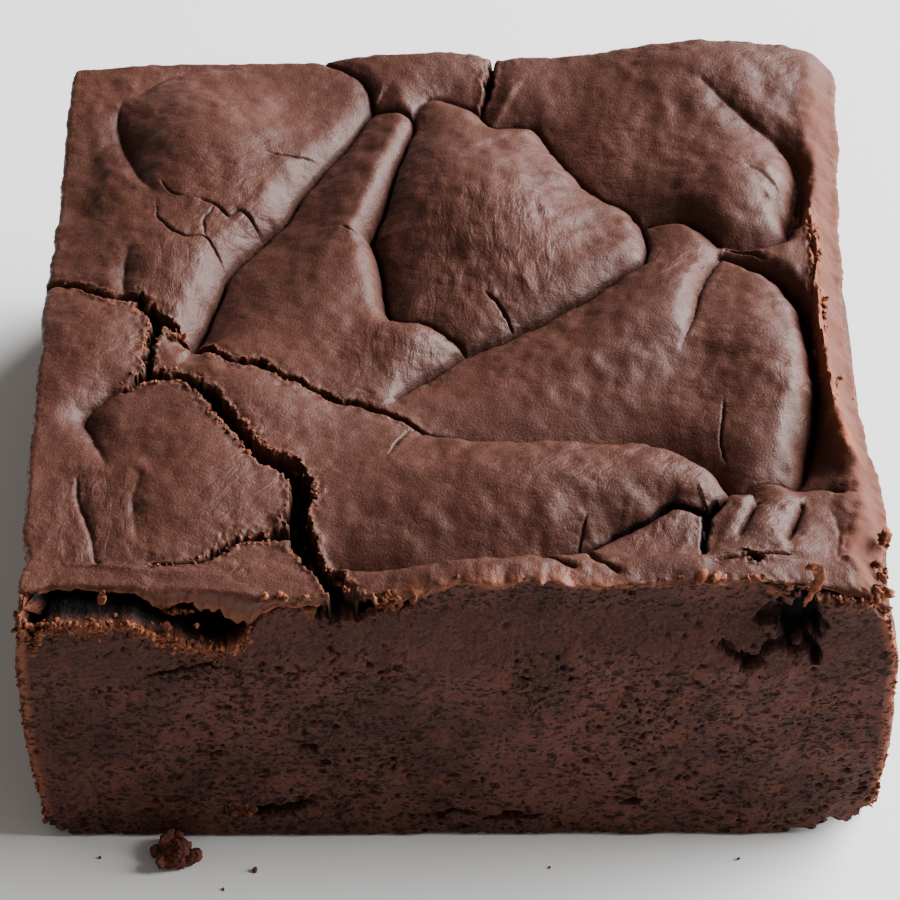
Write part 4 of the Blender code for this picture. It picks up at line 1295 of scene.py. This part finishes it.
def crust_material(settings):
    """Half-glossy cocoa skin: mottled browns, painted shade in the folds, crumbly where it is torn."""
    material, tree, shader, where = new_material("crust skin")
    broad = texture_noise(tree, where, 110, 3)
    patches = texture_noise(tree, where, 420, 3)
    specks = texture_noise(tree, where, 2700, 4, 0.65)
    # Painted shade in the folds and along the hairlines
    fold = calculated(tree, "POWER", attribute_value(tree, "fold"), 1.5)
    glints = texture_noise(tree, where, 8500, 1, 0.5)
    scatter = in_range(tree, texture_noise(tree, where, 900, 3), 0.35, 0.65)
    crumbs = layered(tree, settings.torn_dark, [(scatter, settings.torn_light)])
    colour = layered(tree, settings.dark_brown, [
        (in_range(tree, broad, 0.25, 0.75), settings.light_brown),
        (in_range(tree, patches, 0.45, 0.7, 0, 0.5), settings.warm_brown),
        (in_range(tree, specks, 0.5, 0.7, 0, 0.7), settings.light_brown),
        (in_range(tree, specks, 0.5, 0.3, 0, 0.7), settings.dark_brown),
        (attribute_value(tree, "lip", 0.75), settings.lip_colour),
        # The rind's lighter colour, partly its own and partly painted light on the rim's slopes
        (attribute_value(tree, "rind", 0.85), settings.rind_and_painted_light_colour),
        (attribute_value(tree, "crest", 0.95), settings.hem_colour),
        (attribute_value(tree, "hem", 0.8), settings.hem_colour),
        (calculated(tree, "MULTIPLY", fold, 0.75), settings.fold_shade_colour),
        # Painted glints: tiny pale highlight specks
        (in_range(tree, glints, 0.6, 0.72, 0, 0.5), settings.glint_colour),
        (attribute_value(tree, "torn"), crumbs),
        # Painted shade at the bottom of the cracks
        (attribute_value(tree, "deep"), settings.deep_shade_colour),
    ])
    dull = calculated(tree, "MAXIMUM", attribute_value(tree, "torn"), attribute_value(tree, "rind"))
    rough = in_range(tree, patches, 0.3, 0.7, 0.47, 0.6)
    rough = calculated(tree, "ADD", rough, calculated(tree, "MULTIPLY", dull, 0.3))
    uneven = in_range(tree, texture_noise(tree, where, 190, 2), 0.42, 0.62, 0.1, 0.7)
    leather = calculated(tree, "MULTIPLY", skin_bumps(tree, where, LEATHER_SIZE), uneven)
    height = calculated(tree, "MULTIPLY_ADD", texture_noise(tree, where, 5200, 2, 0.6), 0.6, leather)
    normal = bumped(tree, streak_height(tree, where, height), settings.leather_depth * 1.5)
    filled(tree, shader, {
        "Base Color": colour, "Roughness": rough, "Specular IOR Level": 0.22, "Normal": normal,
    })
    return material


def tiny_pores(tree, where):
    """The pores too small to be shaped: 1 inside them."""
    bent = warped(tree, stretched(tree, where, (0.7, 0.7, 1.0)), where, 1500, 2.0, 0.0009)
    found = []
    for scale, share, low, high in ((1150, 300, 0.38, 0.52), (2300, 700, 0.36, 0.5)):
        cells = shader_node(tree, "ShaderNodeTexVoronoi", {"Vector": bent, "Scale": scale}, feature="F1")
        pit = in_range(tree, cells.outputs["Distance"], 0.2, 0.38, 1, 0)
        there = in_range(tree, texture_noise(tree, where, share, 2), low, high)
        found.append(calculated(tree, "MULTIPLY", pit, there))
    clean = in_range(tree, attribute_value(tree, "smear"), 0, 1, 1, 0.25)
    return calculated(tree, "MULTIPLY", calculated(tree, "MAXIMUM", *found), clean)


def crumb_material(settings):
    """Matt, fine-pored crumb: dark brown with rusty patches, painted shade in the pores and hollows, and
    painted light on the front corners.
    """
    material, tree, shader, where = new_material("crumb")
    broad = texture_noise(tree, where, 160, 4)
    rust = texture_noise(tree, where, 380, 5, 0.75)
    specks = texture_noise(tree, where, 3400, 3, 0.7)
    patchy = in_range(tree, texture_noise(tree, where, 260, 3, 0.6), 0.35, 0.65, 0.25, 0.85)
    tiny = tiny_pores(tree, where)
    # Painted shade in the shaped and the tiny pores
    pore = calculated(tree, "MAXIMUM", attribute_value(tree, "pore"), tiny)
    # Painted shade in the hollows, deeper ones darker, with a ragged border
    painted_hollow_shade = texture_noise(tree, where, 2600, 2)
    painted_hollow_shade = calculated(tree, "MULTIPLY_ADD", painted_hollow_shade, -0.9, attribute_value(tree, "hollow"))
    colour = layered(tree, settings.dark_brown, [
        (in_range(tree, broad, 0.38, 0.62), settings.light_brown),
        (in_range(tree, rust, 0.5, 0.72, 0, 0.8), settings.rust_colour),
        (attribute_value(tree, "smear", patchy), settings.smear_colour),
        (in_range(tree, specks, 0.5, 0.75, 0, 0.7), settings.rust_colour),
        # Darker specks at random, in the same colour as the pores' painted shade
        (in_range(tree, specks, 0.5, 0.3, 0, 0.6), settings.pore_shade_colour),
        (attribute_value(tree, "ledge"), settings.ledge_colour),
        # Painted light on the front corners
        (attribute_value(tree, "side", 0.85), settings.lit_corner_colour),
        # Painted shade in the pores
        (calculated(tree, "MULTIPLY", pore, 0.85), settings.pore_shade_colour),
        (in_range(tree, painted_hollow_shade, -0.3, 0.9), settings.hollow_shade_colour),
    ])
    normal = bumped(tree, texture_noise(tree, where, 2400, 4, 0.65), GRAIN_DEPTH)
    normal = bumped(tree, calculated(tree, "SUBTRACT", 1.0, tiny), TINY_PORE_DEPTH, normal)
    filled(tree, shader, {
        "Base Color": colour, "Roughness": 0.8, "Specular IOR Level": 0.2, "Normal": normal,
    })
    return material


def burr_material(name, dark, light):
    """Fresh, matt crumb between two browns."""
    material, tree, shader, where = new_material(name)
    spots = texture_noise(tree, where, 1100, 3, 0.6)
    colour = layered(tree, dark, [(in_range(tree, spots, 0.35, 0.65), light)])
    filled(tree, shader, {"Base Color": colour, "Roughness": 0.85, "Specular IOR Level": 0.15})
    return material


def floor_material(settings):
    """A plain pale floor."""
    material, tree, shader, _ = new_material("floor")
    filled(tree, shader, {"Base Color": (*settings.floor_colour, 1), "Roughness": 0.6})
    return material


# Burrs and crumbs

# How many burrs there are on each upright corner in front, and on the ledge below the gap
CORNER_BURRS, LEDGE_BURRS = 70, 330
# How far outside its half gap a burr may lie from a crack's line, and how deep in the surface it sits
BURR_SPREAD, BURR_SINK = 0.25, 0.1
# Seeds of the random draws, and of the scatter tree's own
BURR_SEED, STUCK_SEED, LOOSE_SEED = 5, 8, 9
BURR_SHAPE_SEED, CRUMB_SHAPE_SEED = 3, 4


def beside_route(points, offset, spacing, draw, settings):
    """Places at random steps along a route, offset to a random side, on the crust's surface."""
    route = smooth_route(points)
    steps = np.append(0, np.cumsum(np.hypot(*np.diff(route, axis=0).T)))
    count = int(steps[-1] / spacing)
    at = draw.uniform(0, steps[-1], count)
    start, ahead = (
        np.column_stack([np.interp(place, steps, axis) for axis in route.T]) for place in (at, at + 0.1)
    )
    run = ahead - start
    run = run / np.maximum(np.linalg.norm(run, axis=1), 1e-9)[:, None]
    off = draw.choice([-1, 1], count) * (offset + draw.uniform(0, BURR_SPREAD, count))
    places = start + np.column_stack([-run[:, 1] * off, run[:, 0] * off])
    places = places[(np.abs(places) < HALF_SIDES - 0.8).all(axis=1)]
    height, _ = crust_relief(places, settings)
    return np.column_stack([places, height - BURR_SINK])


def edge_burrs(draw):
    """The burrs along the crust's lower border and the wall's upright corners, as places and sizes."""
    for count, line, low, high in (
        (100, ((-16.0, -HALF_DEPTH), (34.5, -HALF_DEPTH)), 0.06, 0.16),
        (70, ((HALF_WIDTH, -34.0), (HALF_WIDTH, 34.0)), 0.08, 0.26),
        (90, ((-HALF_WIDTH, -34.0), (-HALF_WIDTH, 34.0)), 0.08, 0.22),
        (50, ((-34.5, HALF_DEPTH), (34.5, HALF_DEPTH)), 0.08, 0.2),
    ):
        start, end = (np.array(point, float) for point in line)
        place = start + draw.uniform(0, 1, count)[:, None] * (end - start)
        shift = edge_offsets(place, np.ones(count))
        height = wall_tops(0.99 * place) + draw.uniform(0.1, 0.5, count)
        spots = np.column_stack([0.993 * (place + shift), height])
        yield spots, draw.uniform(low, high, count)
    for x, foot in ((-HALF_WIDTH, 1.5), (HALF_WIDTH, 3.6)):
        z = draw.uniform(foot, 27.5, CORNER_BURRS)
        place = np.tile([x, -HALF_DEPTH], (CORNER_BURRS, 1))
        shift = edge_offsets(place, z / EDGE_HEIGHT)
        spots = np.column_stack([(place + shift) * 0.995, z])
        yield spots, draw.uniform(0.06, 0.2, CORNER_BURRS)


def crack_burrs(draw, settings):
    """The burrs along the torn cracks and the rim's crest on the right, as places and sizes."""
    for name, offset, spacing, low, high in (
        ("crack front", 0.75, 0.3, 0.08, 0.32),
        ("crack tear", 0.4, 0.4, 0.08, 0.28),
        ("crack left", 0.4, 0.9, 0.05, 0.16),
        ("plate crack", 0.3, 0.35, 0.08, 0.24),
        ("flap right", 0.5, 0.5, 0.06, 0.18),
    ):
        found = beside_route(CRACKS[name][0], offset, spacing, draw, settings)
        yield found, draw.uniform(low, high, len(found))
    inner_crest = [(x - 0.75, y) for x, y in RIM_CREST]
    found = beside_route(inner_crest, 0.0, 0.14, draw, settings)
    found = found[noise(found[:, :2], 2.2, 95) > 0.0]
    yield found, draw.uniform(0.08, 0.3, len(found))


def burr_points(settings):
    """Where the burrs are and how large each is."""
    draw = np.random.default_rng(BURR_SEED)
    found = [*edge_burrs(draw), *crack_burrs(draw, settings)]
    on_ledge = ledge_spots(draw)
    found.append((on_ledge, draw.uniform(0.1, 0.3, len(on_ledge))))
    return joined(found)


def joined(found):
    """Places and sizes, each from a list of such pairs."""
    spots, sizes = zip(*found)
    return np.vstack(spots), np.concatenate(sizes)


def ledge_spots(draw):
    """Places on the ragged ledge of crumb below the gap on the left, and a little farther down the wall."""
    x = draw.uniform(-34.8, LEDGE_END, LEDGE_BURRS)
    z = np.interp(x, *zip(*GAP_FLOOR)) + 0.1 - np.abs(draw.normal(0, 0.75, LEDGE_BURRS))
    place = np.column_stack([x, np.full(LEDGE_BURRS, -HALF_DEPTH)])
    hollow, _, _ = hollow_depth(x, z)
    y = (place + edge_offsets(place, z / EDGE_HEIGHT))[:, 1] + hollow + 0.05
    spots = np.column_stack([x, y, z])
    return spots[hollow < 2.0]


# Crumbs in clumps: middle, spread, how many, and their smallest and largest radius. First the loose ones
LOOSE_CLUMPS = {
    "floor crumb": ((-23.6, -37.2, 0.8), (1.2, 0.8, 0.4), 22, 0.55, 0.95),
    "floor crumb end": ((-25.4, -36.9, 0.5), (0.5, 0.4, 0.2), 6, 0.35, 0.55),
    "floor crumb root": ((-24.0, -35.9, 0.9), (0.7, 0.4, 0.4), 6, 0.35, 0.55),
    "speck left": ((-19.6, -40.5, 0.1), (0, 0, 0), 1, 0.12, 0.13),
    "speck middle": ((-17.0, -38.6, 0.1), (0, 0, 0), 1, 0.15, 0.16),
    "speck far left": ((-30.2, -37.0, 0.1), (0, 0, 0), 1, 0.1, 0.11),
    "speck right": ((8.0, -38.2, 0.1), (0, 0, 0), 1, 0.08, 0.09),
    "speck far right": ((24.0, -37.5, 0.1), (0, 0, 0), 1, 0.1, 0.11),
}
# and then those that stick to the edges
STUCK_CLUMPS = {
    "rim burr": ((35.0, -27.0, 28.3), (0.3, 0.5, 0.6), 12, 0.25, 0.5),
    "rim burr low": ((34.6, -30.2, 27.2), (0.3, 0.9, 0.9), 16, 0.15, 0.36),
    "corner crumbs": ((33.8, -33.0, 28.2), (0.9, 0.6, 0.8), 24, 0.15, 0.4),
    "lip burr": ((20.8, -33.0, 29.9), (0.8, 0.1, 0.1), 6, 0.25, 0.5),
    "lip burr right": ((23.8, -33.1, 29.8), (0.7, 0.1, 0.1), 5, 0.25, 0.45),
    "rim crest crumbs": ((31.9, -8.0, 28.9), (0.6, 1.6, 0.25), 30, 0.15, 0.42),
    "valley bridge": ((31.5, -5.0, 28.2), (0.5, 0.7, 0.5), 22, 0.25, 0.5),
    "rim crest crumbs front": ((32.7, -16.6, 28.7), (0.25, 1.6, 0.15), 10, 0.15, 0.35),
    "gap bead": ((-28.4, -33.2, 28.0), (0.1, 0.1, 0.1), 2, 0.35, 0.45),
    "tear clump": ((-24.2, -2.6, 28.3), (0.9, 0.5, 0.2), 12, 0.25, 0.45),
    "tear clump low": ((-26.5, -5.0, 27.6), (0.5, 0.6, 0.3), 8, 0.2, 0.4),
    "left corner crumbs": ((-35.2, -33.9, 25.4), (0.3, 0.6, 1.8), 16, 0.2, 0.45),
    "left ledge crumbs": ((-29.5, -34.3, 25.9), (5.5, 0.3, 0.35), 60, 0.12, 0.3),
    "left lip crumbs": ((-22.4, -32.9, 26.0), (2.4, 0.15, 0.3), 16, 0.12, 0.28),
    "middle lip crumbs": ((-13.0, -33.6, 28.1), (2.0, 0.2, 0.5), 20, 0.2, 0.4),
    "lip nodules left": ((-2.9, -33.6, 29.2), (1.2, 0.1, 0.3), 8, 0.2, 0.45),
    "lip nodules": ((3.6, -33.4, 29.7), (1.4, 0.1, 0.2), 4, 0.2, 0.4),
    "mouth crumbs": ((-5.0, -34.0, 28.2), (1.6, 0.3, 0.6), 22, 0.2, 0.42),
    "foot chip": ((34.2, -33.4, 3.2), (1.6, 0.6, 0.5), 20, 0.15, 0.4),
    "foot ledge": ((-18.2, -34.6, 3.4), (1.2, 0.3, 0.7), 20, 0.15, 0.4),
}


def clump_points(clumps, seed):
    """The places and sizes of the crumbs in some clumps."""
    draw = np.random.default_rng(seed)
    found = []
    for middle, spread, count, low, high in clumps.values():
        size = draw.uniform(low, high, count)
        spot = np.array(middle) + draw.normal(0, 0.5, (count, 3)) * spread
        spot[:, 2] = np.maximum(spot[:, 2], size)
        found.append((spot, size))
    return joined(found)


# The scatter tree's inputs and their kinds
SCATTER_INPUTS = {
    "Points": "Geometry",
    "Fineness": "Int",
    "Roughness": "Float",
    "Bump size": "Float",
    "Seed": "Int",
    "Material": "Material",
}


def scatter_tree():
    """A node tree that puts a rough little crumb on every point of a mesh, as large as its stored size."""
    tree = bpy.data.node_groups.new("scatter crumbs", "GeometryNodeTree")
    for name, kind in SCATTER_INPUTS.items():
        tree.interface.new_socket(name, in_out="INPUT", socket_type="NodeSocket" + kind)
    tree.interface.new_socket("Crumbs", in_out="OUTPUT", socket_type="NodeSocketGeometry")
    given = tree.nodes.new("NodeGroupInput").outputs
    result = tree.nodes.new("NodeGroupOutput")

    def made(kind, inputs, output=0, **options):
        return shader_node(tree, kind, inputs, **options).outputs[output]

    def random_vector(low, high):
        inputs = {0: low, 1: high, "Seed": given["Seed"]}
        return made("FunctionNodeRandomValue", inputs, data_type="FLOAT_VECTOR")

    points = made("GeometryNodeMeshToPoints", {"Mesh": given["Points"]}, "Points")
    ball = made("GeometryNodeMeshIcoSphere", {"Radius": 1.0, "Subdivisions": given["Fineness"]}, "Mesh")
    size = made("GeometryNodeInputNamedAttribute", {"Name": "size"}, "Attribute", data_type="FLOAT")
    placed = made("GeometryNodeInstanceOnPoints", {
        "Points": points,
        "Instance": ball,
        "Rotation": random_vector((0, 0, 0), (6.3, 6.3, 6.3)),
        "Scale": vector_maths(tree, "SCALE", random_vector((0.7, 0.5, 0.4), (1.7, 1.2, 1.0)), size),
    })
    whole = made("GeometryNodeRealizeInstances", {"Geometry": placed}, "Geometry")
    position = made("GeometryNodeInputPosition", {})
    often = calculated(tree, "DIVIDE", 1.0, given["Bump size"])
    bumps = made("ShaderNodeTexNoise", {"Vector": position, "Scale": often, "Detail": 3.0}, "Color")
    centred = vector_maths(tree, "SUBTRACT", bumps, (0.5, 0.5, 0.5))
    shift = vector_maths(tree, "SCALE", centred, given["Roughness"])
    rough = made("GeometryNodeSetPosition", {"Geometry": whole, "Offset": shift})
    coloured = made("GeometryNodeSetMaterial", {"Geometry": rough, "Material": given["Material"]})
    tree.links.new(coloured, result.inputs[0])
    return tree


def scattered_piece(name, tree, spots, sizes, values):
    """The tree's crumbs on the given spots with its inputs set by name, as one plain mesh object."""
    mesh = bpy.data.meshes.new(name + " points")
    mesh.from_pydata((spots * MM).tolist(), [], [])
    mesh.attributes.new("size", "FLOAT", "POINT").data.foreach_set("value", (sizes * MM).astype(np.float32))
    maker = linked(name + " maker", mesh)
    modifier = maker.modifiers.new("crumbs", "NODES")
    modifier.node_group = tree
    for item in tree.interface.items_tree:
        if item.name in values:
            modifier[item.identifier] = values[item.name]
    maker.update_tag()
    graph = bpy.context.evaluated_depsgraph_get()
    made = bpy.data.meshes.new_from_object(maker.evaluated_get(graph), depsgraph=graph)
    bpy.data.objects.remove(maker)
    bpy.data.meshes.remove(mesh)
    made.name = name
    made.shade_smooth()
    return linked(name, made)


# The curl's middle line as x, y, z and radius, and how many rings and sides it has
CURL_LINE = [
    (28.1, -32.6, 30.3, 0.12), (28.4, -33.0, 31.1, 0.4), (28.9, -33.3, 31.1, 0.46),
    (29.1, -33.6, 30.4, 0.44), (28.7, -33.9, 29.4, 0.36), (28.3, -34.1, 28.5, 0.28),
    (27.9, -34.1, 27.6, 0.1),
]
CURL_STEPS, CURL_SIDES = 36, 16


def curl_piece(material):
    """The ribbon of crumb that the knife curled up at the front edge's right end."""
    line = np.array(CURL_LINE)
    fine = np.linspace(0, len(line) - 1, CURL_STEPS)
    middle = np.column_stack([np.interp(fine, range(len(line)), column) for column in line.T])
    turn = np.linspace(0, 2 * np.pi, CURL_SIDES, endpoint=False)
    ring = np.column_stack([np.cos(turn), 0.6 * np.sin(turn), 0.5 * np.sin(turn)])
    points = (middle[:, None, :3] + middle[:, None, 3:] * ring[None]).reshape(-1, 3)
    points += 0.1 * jumble(points, 0.6, (301, 311, 321))
    faces = []
    for i in range(CURL_STEPS - 1):
        for j in range(CURL_SIDES):
            k = (j + 1) % CURL_SIDES
            low, high = i * CURL_SIDES, (i + 1) * CURL_SIDES
            faces.append([high + j, high + k, low + k, low + j])
    faces.append(list(range(CURL_SIDES)))
    faces.append(list(range(len(points) - CURL_SIDES, len(points)))[::-1])
    return mesh_piece("edge_curl", points, faces, {}, material)


# Settings, operators and the panel


def colour_setting(name, description, value):
    """A colour that a user can change."""
    return FloatVectorProperty(
        name=name, description=description, subtype="COLOR", size=4, min=0, max=1, default=(*value, 1)
    )


def length_setting(name, description, millimetres):
    """A length that a user can change."""
    return FloatProperty(
        name=name, description=description, default=millimetres * MM, min=0, unit="LENGTH", precision=5
    )


def angle_setting(name, description, degrees):
    """An angle that a user can change."""
    return FloatProperty(name=name, description=description, default=np.radians(degrees), subtype="ANGLE")


class BrownieCrustSettings(bpy.types.PropertyGroup):
    cell: length_setting("Cell", "Size of the crust's largest faces", 0.3)
    line_wander: length_setting("Crease wander", "How far the creases stray from smooth lines", 0.12)
    crack_wander: length_setting("Crack wander", "How far the cracks stray from smooth lines", 0.2)
    crack_wall: length_setting("Crack wall", "Width of a crack's steep wall, seen from above", 0.22)
    nip_depth: length_setting("Nip depth", "Depth of the sharp line at the bottom of a fold", 0.45)
    nip_width: length_setting("Nip width", "Half width of the sharp line at the bottom of a fold", 0.3)
    undulation: length_setting("Undulation", "Height of the soft unevenness of the lobes", 0.07)
    wrinkle: length_setting("Wrinkles", "Height of the leathery wrinkles", 0.14)
    leather_depth: length_setting("Leather depth", "Depth of the finest wrinkles", 0.06)
    dark_brown: colour_setting("Dark brown", "The skin's darker tone", (0.043, 0.0126, 0.0076))
    light_brown: colour_setting("Light brown", "The skin's lighter tone", (0.075, 0.0240, 0.0152))
    warm_brown: colour_setting("Warm brown", "The skin's warmer patches", (0.078, 0.0220, 0.0118))
    # Painted shade deep in the folds
    fold_shade_colour: colour_setting("Folds", "The skin deep in the folds", (0.020, 0.009, 0.007))
    lip_colour: colour_setting("Lip", "The rolled outer edge", (0.120, 0.0410, 0.0255))
    hem_colour: colour_setting("Hem", "The lower border of the crust's cut edge", (0.210, 0.060, 0.026))
    # Partly the rind's own colour and partly painted light
    rind_and_painted_light_colour: colour_setting("Rind", "The outer slope of the rim on the right", (0.104, 0.032, 0.0195))
    # Painted glints: tiny pale highlight specks on the skin
    glint_colour: colour_setting("Glints", "The tiny pale specks in the skin", (0.165, 0.082, 0.058))
    torn_dark: colour_setting("Torn, dark", "The torn crumb's darker tone", (0.050, 0.018, 0.010))
    torn_light: colour_setting("Torn, light", "The torn crumb's lighter tone", (0.140, 0.045, 0.022))
    # Painted shade at the bottom of the cracks
    deep_shade_colour: colour_setting("Deep", "The bottom of the cracks", (0.008, 0.003, 0.002))


class BrownieCrumbSettings(bpy.types.PropertyGroup):
    cell: length_setting("Cell", "Size of the walls' undivided faces", 0.6)
    foot_round: length_setting("Foot rounding", "How far the walls pull in at the foot", 0.35)
    pore_size: length_setting("Pore spacing", "Spacing of the larger pores", 0.95)
    pore_depth: length_setting("Pore depth", "Depth of the larger pores", 0.45)
    dark_brown: colour_setting("Dark brown", "The crumb's darker tone", (0.052, 0.0195, 0.0160))
    light_brown: colour_setting("Light brown", "The crumb's lighter tone", (0.110, 0.0400, 0.0310))
    rust_colour: colour_setting("Rust", "The crumb's warm patches", (0.135, 0.042, 0.023))
    smear_colour: colour_setting("Smear", "The band smeared by the knife", (0.066, 0.025, 0.020))
    # Painted shade inside the pores, also used for darker specks
    pore_shade_colour: colour_setting("Pores", "The insides of the pores", (0.016, 0.0055, 0.0035))
    # Painted shade inside the hollows and the gap under the crust
    hollow_shade_colour: colour_setting("Hollows", "The insides of the hollows", (0.006, 0.003, 0.003))
    burr_dark: colour_setting("Burrs, dark", "The darker tone of the burrs", (0.085, 0.025, 0.013))
    burr_light: colour_setting("Burrs, light", "The lighter tone of the burrs", (0.265, 0.088, 0.044))
    burr_roughness: length_setting("Burr roughness", "How rough the burrs and crumbs are", 0.45)
    # Painted light on the front corners, as a lighter, redder crumb colour
    lit_corner_colour: colour_setting("Corners", "The redder crumb at the front corners", (0.225, 0.072, 0.040))
    ledge_colour: colour_setting("Ledges", "Fresh crumb at the hollows' edges", (0.190, 0.060, 0.026))


class BrownieStageSettings(bpy.types.PropertyGroup):
    elevation: angle_setting("Elevation", "The camera's angle over the floor", 44.09)
    azimuth: angle_setting("Azimuth", "The camera's turn about the piece", 0.29)
    distance: length_setting("Distance", "From the camera to the point it looks at", 331.9)
    lens: FloatProperty(name="Lens", description="Focal length", default=147.9, unit="CAMERA")
    key_power: FloatProperty(name="Key light", description="Its power", default=72.0, unit="POWER")
    fill_strength: FloatProperty(name="Fill", description="Strength of the light all round", default=0.24)
    floor_colour: FloatVectorProperty(
        name="Floor", description="Colour of the floor", subtype="COLOR", size=3, default=(0.80, 0.80, 0.79)
    )


# The stage, in metres: the floor's half side, the soft light's size, place, aim and colour, and the colour
# of the even light all round
FLOOR_REACH = 1.5
KEY_SIZE = (1.1, 0.7)
KEY_PLACE = (0.81, 0.37, 0.46)
KEY_TARGET = (0, 0, 0.02)
KEY_COLOUR = (0.98, 0.99, 1.0)
FILL_COLOUR = (1.0, 0.93, 0.87)
# The camera's target and sensor, in millimetres, and its nearest distance, in metres
CAMERA_TARGET = (-0.29, 0, 12.15)
SENSOR_WIDTH = 36
CLIP_START = 0.01


class BROWNIE_OT_crust(bpy.types.Operator):
    """Build the folded crust in four sheets that meet along cracks and folds"""

    bl_idname = "brownie.crust"
    bl_label = "Crust"

    def execute(self, context):
        settings = context.scene.brownie_crust
        material = crust_material(settings)
        faces, points, sheet, border, values = crust_sheets(settings)
        for number, name in enumerate(("crust_front", "crust_front_left", "crust_back", "crust_back_left")):
            piece = crust_piece(name, faces, points, border, values, sheet == number, material)
            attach(piece, BODY)
            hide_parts(NODE)
        return {"FINISHED"}


class BROWNIE_OT_crumb(bpy.types.Operator):
    """Build the four cut walls of crumb under the crust"""

    bl_idname = "brownie.crumb"
    bl_label = "Crumb"

    def execute(self, context):
        settings = context.scene.brownie_crumb
        material = crumb_material(settings)
        faces, points, at_front, values = crumb_walls(settings)
        for name, wanted in (("crumb_front", at_front), ("crumb_sides", ~at_front)):
            piece = crumb_piece(name, faces, points, values, wanted, material)
            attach(piece, BODY)
            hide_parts(NODE)
        return {"FINISHED"}


class BROWNIE_OT_burrs(bpy.types.Operator):
    """Scatter the burrs along the edges and cracks, and the crumbs that lie on the floor"""

    bl_idname = "brownie.burrs"
    bl_label = "Burrs and crumbs"

    def execute(self, context):
        settings = context.scene.brownie_crumb
        material = burr_material("fresh crumb", settings.burr_dark, settings.burr_light)
        dull = burr_material("loose crumb", settings.smear_colour, settings.rust_colour)
        tree = scatter_tree()
        roughness = settings.burr_roughness
        burrs = burr_points(context.scene.brownie_crust)
        spots, sizes = joined([burrs, clump_points(STUCK_CLUMPS, STUCK_SEED)])
        burrs = scattered_piece("burrs", tree, spots, sizes, {
            "Fineness": 2,
            "Roughness": 1.7 * roughness,
            "Bump size": 0.22 * MM,
            "Seed": BURR_SHAPE_SEED,
            "Material": material,
        })
        spots, sizes = clump_points(LOOSE_CLUMPS, LOOSE_SEED)
        crumbs = scattered_piece("crumbs", tree, spots, sizes, {
            "Fineness": 4,
            "Roughness": 2 * roughness,
            "Bump size": 0.4 * MM,
            "Seed": CRUMB_SHAPE_SEED,
            "Material": dull,
        })
        curl = curl_piece(material)
        for piece in (burrs, crumbs, curl):
            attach(piece, BODY)
            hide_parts(NODE)
        return {"FINISHED"}


class BROWNIE_OT_stage(bpy.types.Operator):
    """Set the floor, the light and the camera"""

    bl_idname = "brownie.stage"
    bl_label = "Stage"

    def execute(self, context):
        settings = context.scene.brownie_stage
        mesh = bpy.data.meshes.new("floor")
        corners = [(x * FLOOR_REACH, y * FLOOR_REACH, 0) for x, y in ((-1, -1), (1, -1), (1, 1), (-1, 1))]
        mesh.from_pydata(corners, [], [(0, 1, 2, 3)])
        mesh.materials.append(floor_material(settings))
        floor = linked("floor", mesh)
        self.add_light(context, settings)
        self.add_camera(context, settings)
        return {"FINISHED"}

    def add_light(self, context, settings):
        """A large soft light from the right and behind, and an even pale fill."""
        lamp = bpy.data.lights.new("key", "AREA")
        lamp.shape = "RECTANGLE"
        lamp.size, lamp.size_y = KEY_SIZE
        lamp.energy = settings.key_power
        lamp.color = KEY_COLOUR
        key = linked("key", lamp)
        key.location = KEY_PLACE
        key.rotation_euler = (Vector(KEY_TARGET) - key.location).to_track_quat("-Z", "Y").to_euler()
        world = bpy.data.worlds.new("studio")
        world.use_nodes = True
        sky = world.node_tree.nodes["Background"]
        sky.inputs["Color"].default_value = (*FILL_COLOUR, 1)
        sky.inputs["Strength"].default_value = settings.fill_strength
        context.scene.world = world

    def add_camera(self, context, settings):
        """A long lens that looks down on the piece's front."""
        data = bpy.data.cameras.new("camera")
        data.lens = settings.lens
        data.sensor_width = SENSOR_WIDTH
        data.clip_start = CLIP_START
        camera = linked("camera", data)
        target = Vector([place * MM for place in CAMERA_TARGET])
        turn, flat = settings.azimuth, np.cos(settings.elevation)
        back = Vector((-np.sin(turn) * flat, -np.cos(turn) * flat, np.sin(settings.elevation)))
        camera.location = target + back * settings.distance
        camera.rotation_euler = (-back).to_track_quat("-Z", "Y").to_euler()
        context.scene.camera = camera


class BROWNIE_PT_panel(bpy.types.Panel):
    """Lists the brownie's pieces and their settings"""

    bl_label = "Brownie"
    bl_idname = "BROWNIE_PT_panel"
    bl_space_type = "VIEW_3D"
    bl_region_type = "UI"
    bl_category = "Brownie"

    def draw(self, context):
        for name in ("crust", "crumb", "stage"):
            group = getattr(context.scene, "brownie_" + name)
            box = self.layout.box()
            box.operator("brownie." + name)
            if name == "crumb":
                box.operator("brownie.burrs")
            for key in group.bl_rna.properties.keys():
                if key not in ("rna_type", "name"):
                    box.prop(group, key)


CLASSES = (
    BrownieCrustSettings,
    BrownieCrumbSettings,
    BrownieStageSettings,
    BROWNIE_OT_crust,
    BROWNIE_OT_crumb,
    BROWNIE_OT_burrs,
    BROWNIE_OT_stage,
    BROWNIE_PT_panel,
)
GROUPS = {
    "brownie_crust": BrownieCrustSettings,
    "brownie_crumb": BrownieCrumbSettings,
    "brownie_stage": BrownieStageSettings,
}


def register():
    for item in CLASSES:
        bpy.utils.register_class(item)
    for name, group in GROUPS.items():
        setattr(bpy.types.Scene, name, PointerProperty(type=group))


def unregister():
    for name in GROUPS:
        delattr(bpy.types.Scene, name)
    for item in reversed(CLASSES):
        bpy.utils.unregister_class(item)


def main():
    register()
    bpy.ops.brownie.crust()
    bpy.ops.brownie.crumb()
    bpy.ops.brownie.burrs()
    bpy.ops.brownie.stage()


if __name__ == "__main__":
    main()
